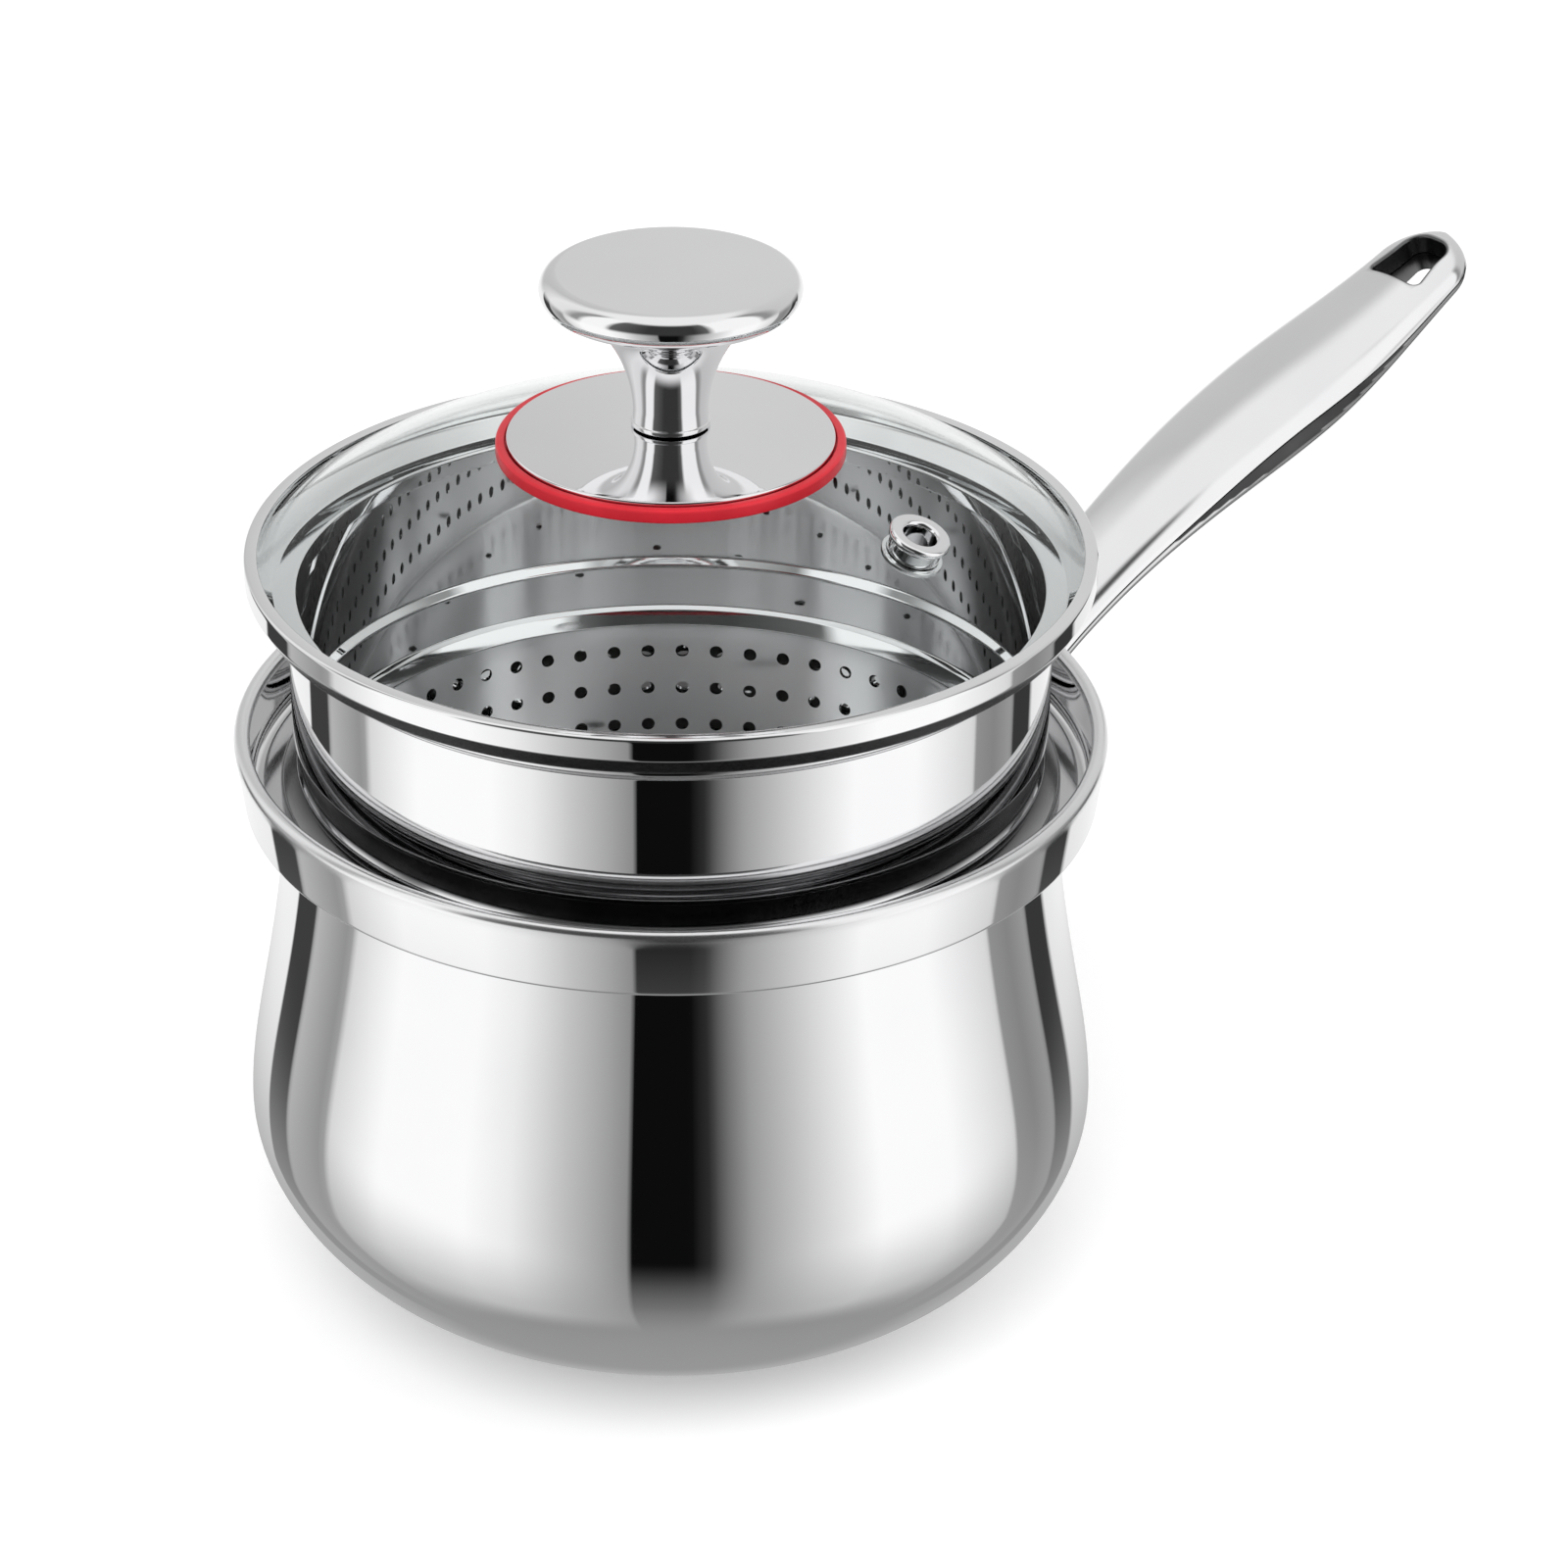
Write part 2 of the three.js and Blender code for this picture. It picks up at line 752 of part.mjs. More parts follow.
const pot = new THREE.Group();
pot.add(
  piece('pot_body', potBody(), steel(0.06)),
  piece('base_core', baseCore(), aluminium(0.4)),
  piece('base_cap', baseCap(), steel(0.2)),
  piece('handle_bracket', handleBracket(), steel(0.25)),
  piece('handle_top_shell', handleShell(1), steel(0.1)),
  piece('handle_bottom_shell', handleShell(-1), steel(0.1)),
);

const steamer = new THREE.Group();
steamer.add(piece('steamer_basket', steamerBasket(), steel(0.06)));

const vent = ventPlace();
vent.tilt.add(
  piece('vent_eyelet', ventEyelet(), steel(0.1)),
  piece('vent_ring', ventRing(), steel(0.15)),
);

const lid = new THREE.Group();
lid.add(
  piece('lid_band', lidBand(), steel(0.06)),
  piece('lid_glass', lidGlass(), clearGlass()),
  vent.place,
  piece('knob_ring', knobRing(), silicone(0xd3182b)),
  piece('knob_plate', knobPlate(), steel(0.06)),
  piece('knob_grip', knobGrip(), steel(0.06)),
  piece('knob_washer', knobWasher(), silicone(0x2b2b2d)),
  piece('knob_screw', knobScrew(), steel(0.2)),
);

const saucepan = new THREE.Group();
saucepan.add(pot, steamer, lid);

export default saucepan;
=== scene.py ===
"""A steel saucepan with a steamer insert and a domed glass lid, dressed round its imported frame."""

import logging
import math
from bisect import bisect_right
from collections.abc import Callable, Iterable, Mapping, Sequence
from dataclasses import dataclass, field
from enum import Enum

import bmesh
import bpy
from mathutils import Matrix, Vector


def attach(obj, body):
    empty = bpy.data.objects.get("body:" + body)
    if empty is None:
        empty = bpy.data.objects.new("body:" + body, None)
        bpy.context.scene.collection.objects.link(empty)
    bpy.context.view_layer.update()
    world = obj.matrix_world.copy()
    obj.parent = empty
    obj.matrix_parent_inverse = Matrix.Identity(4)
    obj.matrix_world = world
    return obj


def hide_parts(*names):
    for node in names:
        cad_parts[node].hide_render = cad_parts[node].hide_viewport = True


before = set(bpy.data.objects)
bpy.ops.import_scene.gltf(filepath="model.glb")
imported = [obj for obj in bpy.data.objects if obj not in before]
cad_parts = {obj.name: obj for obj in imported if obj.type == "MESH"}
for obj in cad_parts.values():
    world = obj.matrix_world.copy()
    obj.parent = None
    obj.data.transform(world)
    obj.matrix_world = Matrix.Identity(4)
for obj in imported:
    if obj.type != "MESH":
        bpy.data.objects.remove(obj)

Point = tuple[float, float]
Corner = tuple[float, float, float]
Colour = tuple[float, float, float]
Rule = Callable[[Vector], float]
Piece = bpy.types.Object
Work = bmesh.types.BMesh
Tree = bpy.types.NodeTree
Socket = bpy.types.NodeSocket
Input = Socket | float | tuple[float, ...]

LOG = logging.getLogger("saucepan")
UNIT = (0.0, 1.0)
MM = 0.001  # a millimetre, in metres
WELD = 1e-7  # how near points merge, in metres

# Lengths in millimetres
GAP = 0.3  # between neighbouring pieces
NEAR = 0.3  # from a face to the points that are marked with it
SUPPORT = 0.25  # from the end of a long span to the point that holds its shading
CRISP, FINE, EASED, MILD, SOFT, FULL, GENTLE, ROUND = 0.1, 0.2, 0.3, 0.4, 0.5, 0.7, 0.8, 1.0  # fillets of edges

# Facets in a full turn
TURN_STEPS = 240
KNOB_STEPS = 160
BORE_STEPS = 64

FILLET_STEP = math.radians(12)  # most that one facet of a fillet turns
FILLET_SHARE = 0.49  # most of a span that a fillet takes
SHARP = math.radians(38)  # where shading breaks


class Body(Enum):
    """The three bodies that come apart."""

    POT = "pot"
    STEAMER = "steamer"
    LID = "lid"


class Grain(Enum):
    """The way that fine polishing lines run over a piece."""

    TURNED = "turned"
    DRAWN = "drawn"
    EVEN = "even"


class Mark(Enum):
    """What a mesh may say at each of its points: where shade is painted into its colour, and where its finish
    is dull.
    """

    # Shade painted into the colour of hollows, grooves and undersides, where the mesh is marked
    RECESS = "recess"
    DULL = "dull"


# Profiles in the half plane of radius and height


def clamped(value: float) -> float:
    """Return a value held between 0 and 1."""
    return min(max(value, 0.0), 1.0)


def bezier(start: Point, pull: Point, draw: Point, end: Point, steps: int) -> list[tuple[Vector, Vector]]:
    """Sample a cubic curve.

    Args:
        start: First point.
        pull: Handle of the first point.
        draw: Handle of the last point.
        end: Last point.
        steps: Number of spans.

    Returns:
        Pairs of a point and the unit direction of travel there.
    """
    a, b, c, d = (Vector(p) for p in (start, pull, draw, end))
    samples = []
    for i in range(steps + 1):
        t = i / steps
        s = 1 - t
        point = a * s**3 + b * (3 * s * s * t) + c * (3 * s * t * t) + d * t**3
        run = (b - a) * (3 * s * s) + (c - b) * (6 * s * t) + (d - c) * (3 * t * t)
        samples.append((point, run.normalized()))
    return samples


def arc(centre: Point, radius: float, degrees: Iterable[int]) -> list[Point]:
    """Return the points of a circle at angles in degrees."""
    angles = [math.radians(a) for a in degrees]
    return [(centre[0] + radius * math.cos(a), centre[1] + radius * math.sin(a)) for a in angles]


def sharp(points: Sequence[Point]) -> list[Corner]:
    """Return points as corners with no fillet."""
    return [(p[0], p[1], 0.0) for p in points]


def rounded(corners: Sequence[Corner], ring: bool = False) -> list[Point]:
    """Turn corners with fillet radii into a run of points.

    Args:
        corners: Radius, height and fillet of each corner.
        ring: Whether the run closes on its start.

    Returns:
        The points of the run.
    """
    count = len(corners)
    points: list[Point] = []
    for index, (radius, height, fillet) in enumerate(corners):
        at_end = not ring and index in (0, count - 1)
        if at_end or fillet <= 0:
            points.append((radius, height))
            continue
        here = Vector((radius, height))
        back = Vector(corners[index - 1][:2]) - here
        on = Vector(corners[(index + 1) % count][:2]) - here
        half = back.angle(on) / 2
        reach = min(fillet / math.tan(half), FILLET_SHARE * min(back.length, on.length))
        size = reach * math.tan(half)
        centre = here + (back.normalized() + on.normalized()).normalized() * (size / math.sin(half))
        first = here + back.normalized() * reach - centre
        sweep = first.angle_signed(here + on.normalized() * reach - centre)
        steps = max(2, math.ceil(abs(sweep) / FILLET_STEP))
        for i in range(steps + 1):
            spoke = first.copy()
            spoke.rotate(Matrix.Rotation(-sweep * i / steps, 2))
            points.append((centre.x + spoke.x, centre.y + spoke.y))
    return points


def refined(points: Sequence[Point], longest: float = 2.5, ring: bool = False) -> list[Point]:
    """Divide long straight spans, with a close point at each end to hold the shading of a fillet.

    Args:
        points: The run.
        longest: Longest span to keep, in millimetres.
        ring: Whether the run closes on its start.

    Returns:
        The finer run.
    """
    following = list(points[1:]) + ([points[0]] if ring else [])
    finer: list[Point] = []
    for a, b in zip(points, following):
        start, span = Vector(a), Vector(b) - Vector(a)
        finer.append(tuple(start))
        if span.length <= longest:
            continue
        low, high = SUPPORT / span.length, 1 - SUPPORT / span.length
        steps = math.ceil(span.length / longest)
        for i in range(steps + 1):
            finer.append(tuple(start + span * (low + (high - low) * i / steps)))
    if not ring:
        finer.append(tuple(points[-1]))
    return finer


# Meshes


def turn(work: Work, profile: Sequence[Point], steps: int, ring: bool = False) -> None:
    """Add a profile turned about the Z axis to a mesh.

    Args:
        work: The mesh to add to.
        profile: Radius and height of each point, in millimetres.
        steps: Number of facets in a full turn.
        ring: Whether the profile closes on its start.
    """
    angles = [2 * math.pi * i / steps for i in range(steps)]
    spokes = [(math.cos(a) * MM, math.sin(a) * MM) for a in angles]
    rows = []
    for radius, height in profile:
        if radius < WELD:
            rows.append([work.verts.new((0, 0, height * MM))])
        else:
            rows.append([work.verts.new((radius * x, radius * y, height * MM)) for x, y in spokes])
    for low, high in zip(rows, rows[1:] + (rows[:1] if ring else [])):
        for i in range(steps):
            j = (i + 1) % steps
            corners = (low[i % len(low)], low[j % len(low)], high[j % len(high)], high[i % len(high)])
            face = list(dict.fromkeys(corners))
            if len(face) > 2:
                work.faces.new(face)


def bridge(work: Work, rows: Sequence[Sequence[bmesh.types.BMVert]]) -> None:
    """Add the faces between neighbouring closed rows of as many points each.

    Args:
        work: The mesh to add to.
        rows: The rows of its points.
    """
    count = len(rows[0])
    for low, high in zip(rows, rows[1:]):
        for i in range(count):
            j = (i + 1) % count
            work.faces.new((low[i], low[j], high[j], high[i]))


def fan(work: Work, row: Sequence[bmesh.types.BMVert], centre: Vector) -> None:
    """Close a row of points with a fan of faces.

    Args:
        work: The mesh to add to.
        row: The row of its points.
        centre: Where the fan's middle goes, in metres.
    """
    middle = work.verts.new(centre)
    for i, vertex in enumerate(row):
        work.faces.new((middle, vertex, row[(i + 1) % len(row)]))


def closed(mesh: bpy.types.Mesh) -> None:
    """Merge a mesh's doubles, turn its faces outwards and shade it smooth between its sharp edges.

    Args:
        mesh: The mesh.
    """
    work = bmesh.new()
    work.from_mesh(mesh)
    bmesh.ops.remove_doubles(work, verts=work.verts, dist=WELD)
    bmesh.ops.dissolve_degenerate(work, edges=work.edges, dist=WELD)
    bmesh.ops.recalc_face_normals(work, faces=work.faces)
    work.to_mesh(mesh)
    work.free()
    mesh.shade_smooth()
    mesh.set_sharp_from_angle(angle=SHARP)


def placed(name: str, work: Work) -> Piece:
    """Make an object of a mesh as it is.

    Args:
        name: The object's name.
        work: The mesh, which is freed.

    Returns:
        The object, at the origin.
    """
    mesh = bpy.data.meshes.new(name)
    work.to_mesh(mesh)
    work.free()
    piece = bpy.data.objects.new(name, mesh)
    bpy.context.scene.collection.objects.link(piece)
    return piece


def made(name: str, work: Work) -> Piece:
    """Make a closed and shaded object of a mesh.

    Args:
        name: The object's name.
        work: The mesh, which is freed.

    Returns:
        The object, at the origin.
    """
    piece = placed(name, work)
    closed(piece.data)
    return piece


def turned(
    name: str, corners: Sequence[Corner], steps: int, ring: bool = False, place: Matrix | None = None
) -> Piece:
    """Make a turned piece from its corners and fillets.

    Args:
        name: The piece's name.
        corners: Radius, height and fillet of each corner, in millimetres.
        steps: Number of facets in a full turn.
        ring: Whether the profile closes on its start.
        place: Where the piece goes, if not on the Z axis.

    Returns:
        The piece.
    """
    work = bmesh.new()
    turn(work, refined(rounded(corners, ring), ring=ring), steps, ring)
    if place is not None:
        work.transform(place)
    return made(name, work)


def lofted(name: str, rings: Sequence[Sequence[Vector]]) -> Piece:
    """Make a closed piece through rings of points, with a fan over each end.

    Args:
        name: The piece's name.
        rings: Rings of as many points each, in millimetres.

    Returns:
        The piece.
    """
    work = bmesh.new()
    rows = [[work.verts.new(p * MM) for p in ring] for ring in rings]
    bridge(work, rows)
    for row in (rows[0], rows[-1]):
        fan(work, row, sum((v.co for v in row), Vector()) / len(row))
    return made(name, work)


def marked(piece: Piece, mark: Mark, rule: Rule) -> None:
    """Write a mark on every point of a piece.

    Args:
        piece: The finished piece.
        mark: The mark's name.
        rule: Gives the mark's strength at a point in millimetres.
    """
    layer = piece.data.attributes.new(mark.value, "FLOAT", "POINT")
    layer.data.foreach_set("value", [rule(vertex.co / MM) for vertex in piece.data.vertices])


def baked(piece: Piece) -> None:
    """Turn what a piece's modifiers make of it into its own plain mesh.

    Args:
        piece: The piece.
    """
    graph = bpy.context.evaluated_depsgraph_get()
    mesh = bpy.data.meshes.new_from_object(piece.evaluated_get(graph), depsgraph=graph)
    piece.modifiers.clear()
    piece.data = mesh
    closed(mesh)


def cut(piece: Piece, cutter: Piece) -> None:
    """Cut one piece by another, which stays.

    Args:
        piece: The piece that is cut.
        cutter: The cutter.
    """
    modifier = piece.modifiers.new("cut", "BOOLEAN")
    modifier.operation, modifier.solver, modifier.object = "DIFFERENCE", "EXACT", cutter
    baked(piece)


# Finishes


def grey(level: float) -> tuple[float, ...]:
    """Return a grey as a node's colour."""
    return (level, level, level, 1.0)


def feed(tree: Tree, node: bpy.types.Node, inputs: Mapping[str | int, Input]) -> None:
    """Link or set a node's inputs.

    Args:
        tree: The node's tree.
        node: The node.
        inputs: A socket to link or a value to set, by the input's name or number.
    """
    for key, value in inputs.items():
        if isinstance(value, Socket):
            tree.links.new(value, node.inputs[key])
        else:
            node.inputs[key].default_value = value


def added(tree: Tree, kind: str, inputs: Mapping[str | int, Input], **settings: object) -> bpy.types.Node:
    """Add a node.

    Args:
        tree: The tree to add to.
        kind: The node's type.
        inputs: A socket to link or a value to set, by the input's name or number.
        settings: The node's own settings, which are set before its inputs.

    Returns:
        The node.
    """
    node = tree.nodes.new(kind)
    for name, value in settings.items():
        setattr(node, name, value)
    feed(tree, node, inputs)
    return node


def maths(tree: Tree, operation: str, *values: Socket | float) -> Socket:
    """Add a Math node with sockets or numbers for its inputs and return its result."""
    return added(tree, "ShaderNodeMath", dict(enumerate(values)), operation=operation).outputs[0]


def mapped(tree: Tree, value: Socket, span: Point, result: Point) -> Socket:
    """Add a smooth Map Range node.

    Args:
        tree: The tree to add to.
        value: What is mapped.
        span: The two ends of the input.
        result: What the two ends become.

    Returns:
        The result's socket.
    """
    ends = {"From Min": span[0], "From Max": span[1], "To Min": result[0], "To Max": result[1]}
    node = added(tree, "ShaderNodeMapRange", {"Value": value, **ends}, interpolation_type="SMOOTHSTEP")
    return node.outputs["Result"]


def mixed(tree: Tree, factor: Socket, base: Input, other: Input) -> Socket:
    """Mix one colour towards another by a factor and return the result."""
    return added(tree, "ShaderNodeMix", {"Factor": factor, 6: base, 7: other}, data_type="RGBA").outputs[2]


class SurfaceMarks:
    """The shader group that gives every finish its smears, tone, fine lines and marks, among them a mask of
    shade painted into hollows.
    """

    NAME = "surface_marks"
    VECTORS = ("Vector", "Line Vector")
    VALUES = ("Roughness", "Smear", "Smear Scale", "Line Scale", "Recess", "Dull")
    RESULTS = ("Roughness", "Tone", "Height", "Shade")
    SMEAR_DETAIL, LINE_DETAIL = 4.0, 2.0
    SMEAR_SPAN, TONE_SPAN, SHADE_SPAN, SHADE_LEVELS = (0.42, 0.68), (0.3, 0.7), (0.2, 0.8), (0.9, 1.0)
    RECESS_ROUGHNESS, DULL_ROUGHNESS = 0.2, 0.3

    @classmethod
    def group(cls) -> Tree:
        """Return the group, made once."""
        return bpy.data.node_groups.get(cls.NAME) or cls._made()

    @classmethod
    def _made(cls) -> Tree:
        """Build the group's sockets and nodes.

        Returns:
            The group.
        """
        tree = bpy.data.node_groups.new(cls.NAME, "ShaderNodeTree")
        for names, way, kind in (
            (cls.VECTORS, "INPUT", "NodeSocketVector"),
            (cls.VALUES, "INPUT", "NodeSocketFloat"),
            (cls.RESULTS, "OUTPUT", "NodeSocketFloat"),
        ):
            for name in names:
                tree.interface.new_socket(name, in_out=way, socket_type=kind)
        given = tree.nodes.new("NodeGroupInput").outputs
        smear, lines = (
            added(tree, "ShaderNodeTexNoise", {
                "Vector": given[vector], "Scale": given[scale], "Detail": detail,
            }).outputs["Fac"]
            for vector, scale, detail in (
                ("Vector", "Smear Scale", cls.SMEAR_DETAIL), ("Line Vector", "Line Scale", cls.LINE_DETAIL),
            )
        )
        rubbed = maths(tree, "MULTIPLY", mapped(tree, smear, cls.SMEAR_SPAN, UNIT), given["Smear"])
        recess = maths(tree, "MULTIPLY", given["Recess"], cls.RECESS_ROUGHNESS)
        worn = maths(tree, "MAXIMUM", recess, maths(tree, "MULTIPLY", given["Dull"], cls.DULL_ROUGHNESS))
        # Strength of the painted shade, varied a little by the smears
        depth = mapped(tree, smear, cls.SHADE_SPAN, cls.SHADE_LEVELS)
        added(tree, "NodeGroupOutput", {
            "Roughness": maths(tree, "ADD", maths(tree, "ADD", given["Roughness"], rubbed), worn),
            "Shade": maths(tree, "MULTIPLY", given["Recess"], depth),
            "Tone": mapped(tree, smear, cls.TONE_SPAN, UNIT),
            "Height": lines,
        })
        return tree


@dataclass(frozen=True)
class Finish:
    """A finish with smears, a drift of tone, fine lines and, on a metal, shade painted where its mesh is
    marked.

    Attributes:
        name: The material's name.
        slot: The record's material slot; not used.
        colour: Its colour.
        shade: Its colour where the tone drifts.
        roughness: Its roughness where it is clean.
        smear: Roughness that smears add.
        metal: Whether it is a metal.
        grain: The way that its fine lines run.
        line_scale: How close the lines lie.
        line_depth: Strength of the lines' bump.
        line_height: Height of the lines' bump, in metres.
        drawn: How far drawn lines are stretched along and down a piece.
        smear_scale: How close the smears lie.
        recess: Colour of the shade painted into a metal where its mesh is marked for it.
    """

    name: str
    slot: str
    colour: Colour
    shade: Colour
    roughness: float
    smear: float
    metal: bool = True
    grain: Grain = Grain.TURNED
    line_scale: float = 900.0
    line_depth: float = 0.01
    line_height: float = 0.1 * MM
    drawn: Point = (0.03, 0.2)
    smear_scale: float = 30.0
    # Dark colour painted as shade where the mesh is marked
    recess: Colour = (0.03, 0.03, 0.032)

    def material(self) -> bpy.types.Material:
        """Return the material, made once."""
        return bpy.data.materials.get(self.name) or self._made()

    def _made(self) -> bpy.types.Material:
        """Build the material's nodes.

        Returns:
            The material.
        """
        material = bpy.data.materials.new(self.name)
        material.use_nodes = True
        tree = material.node_tree
        place = tree.nodes.new("ShaderNodeTexCoord").outputs["Object"]
        marks = added(tree, "ShaderNodeGroup", {
            "Vector": place, "Line Vector": self._lines(tree, place), "Roughness": self.roughness,
            "Smear": self.smear, "Smear Scale": self.smear_scale, "Line Scale": self.line_scale,
        }, node_tree=SurfaceMarks.group())
        tone = mixed(tree, marks.outputs["Tone"], (*self.colour, 1), (*self.shade, 1))
        bump = added(tree, "ShaderNodeBump", {
            "Strength": self.line_depth, "Distance": self.line_height, "Height": marks.outputs["Height"],
        })
        feed(tree, tree.nodes["Principled BSDF"], {
            "Metallic": 1.0 if self.metal else 0.0, "Roughness": marks.outputs["Roughness"],
            "Base Color": self._painted_shade_and_dull(tree, marks, tone), "Normal": bump.outputs["Normal"],
        })
        return material

    def _painted_shade_and_dull(self, tree: Tree, marks: bpy.types.Node, colour: Socket) -> Socket:
        """Paint shade into a metal's colour where its mesh is marked for it, and dull it where it is marked so.

        Args:
            tree: The material's tree.
            marks: The node of the shared group.
            colour: The colour so far.

        Returns:
            The colour with its painted shade.
        """
        if not self.metal:
            return colour
        for mark in Mark:
            node = added(tree, "ShaderNodeAttribute", {}, attribute_name=mark.value)
            feed(tree, marks, {mark.value.title(): node.outputs["Fac"]})
        # Painted shade: marked points blend towards the dark colour
        return mixed(tree, marks.outputs["Shade"], colour, (*self.recess, 1))

    def _lines(self, tree: Tree, place: Socket) -> Socket:
        """Stretch coordinates so that a noise becomes the finish's lines.

        Args:
            tree: The material's tree.
            place: The plain coordinates.

        Returns:
            The stretched coordinates.
        """
        if self.grain is Grain.EVEN:
            return place
        x, y, z = added(tree, "ShaderNodeSeparateXYZ", {0: place}).outputs
        if self.grain is Grain.TURNED:
            square = maths(tree, "MULTIPLY_ADD", y, y, maths(tree, "MULTIPLY", x, x))
            stretched = {"X": maths(tree, "SQRT", square), "Z": z}
        else:
            along, down = (maths(tree, "MULTIPLY", part, size) for part, size in zip((x, z), self.drawn))
            stretched = {"X": along, "Y": y, "Z": down}
        return added(tree, "ShaderNodeCombineXYZ", stretched).outputs[0]


@dataclass(frozen=True)
class ClearGlass(Finish):
    """Clear polished glass with faint smears, which bends light by a given index."""

    bend: float = 1.12

    def _made(self) -> bpy.types.Material:
        """Build the material's nodes, with light passing through.

        Returns:
            The material.
        """
        material = super()._made()
        tree = material.node_tree
        feed(tree, tree.nodes["Principled BSDF"], {"Transmission Weight": 1.0, "IOR": self.bend})
        return material


MIRROR_STEEL = Finish(
    name="mirror_polish", slot="mirror_steel", colour=(0.92, 0.92, 0.925), shade=(0.9, 0.9, 0.91),
    roughness=0.018, smear=0.014, line_depth=0.008, line_scale=1500.0,
)
HANDLE_STEEL = Finish(
    name="handle_polish", slot="handle_steel", colour=(0.91, 0.91, 0.915), shade=(0.88, 0.88, 0.89),
    roughness=0.09, smear=0.03, grain=Grain.DRAWN, line_depth=0.03, line_scale=1400.0,
)
SATIN_STEEL = Finish(
    name="satin_turning", slot="satin_steel", colour=(0.66, 0.66, 0.67), shade=(0.6, 0.6, 0.61),
    roughness=0.24, smear=0.08, line_depth=0.25, line_scale=1200.0,
)
BASE_ALUMINIUM = Finish(
    name="plain_aluminium", slot="base_aluminium", colour=(0.72, 0.72, 0.73), shade=(0.66, 0.66, 0.67),
    roughness=0.4, smear=0.1, line_depth=0.3,
)
RED_SILICONE = Finish(
    name="red_rubber", slot="red_silicone", colour=(0.68, 0.012, 0.028), shade=(0.6, 0.009, 0.022),
    roughness=0.38, smear=0.1, metal=False, grain=Grain.EVEN, line_depth=0.08, line_scale=2500.0,
    smear_scale=90.0,
)
DARK_SILICONE = Finish(
    name="dark_rubber", slot="dark_silicone", colour=(0.03, 0.03, 0.032), shade=(0.045, 0.045, 0.047),
    roughness=0.5, smear=0.1, metal=False, grain=Grain.EVEN, line_depth=0.1, line_scale=2500.0,
)
LID_GLASS = ClearGlass(
    name="clear_glass", slot="lid_glass", colour=(0.965, 0.98, 0.975), shade=(0.955, 0.975, 0.97),
    roughness=0.0, smear=0.012, metal=False, grain=Grain.EVEN, line_depth=0.0, smear_scale=25.0,
)


def dress(piece: Piece, node: str, body: Body, finish: Finish) -> None:
    """Give a piece its finish and let it stand for its node.

    Args:
        piece: The finished piece.
        node: The node that it replaces.
        body: The body that it moves with.
        finish: Its finish.
    """
    piece.data.materials.clear()
    piece.data.materials.append(finish.material())
    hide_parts(node)
    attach(piece, body.value)
    LOG.info("%s replaces %s on %s, %d faces", piece.name, node, body.value, len(piece.data.polygons))


# Sub-assemblies


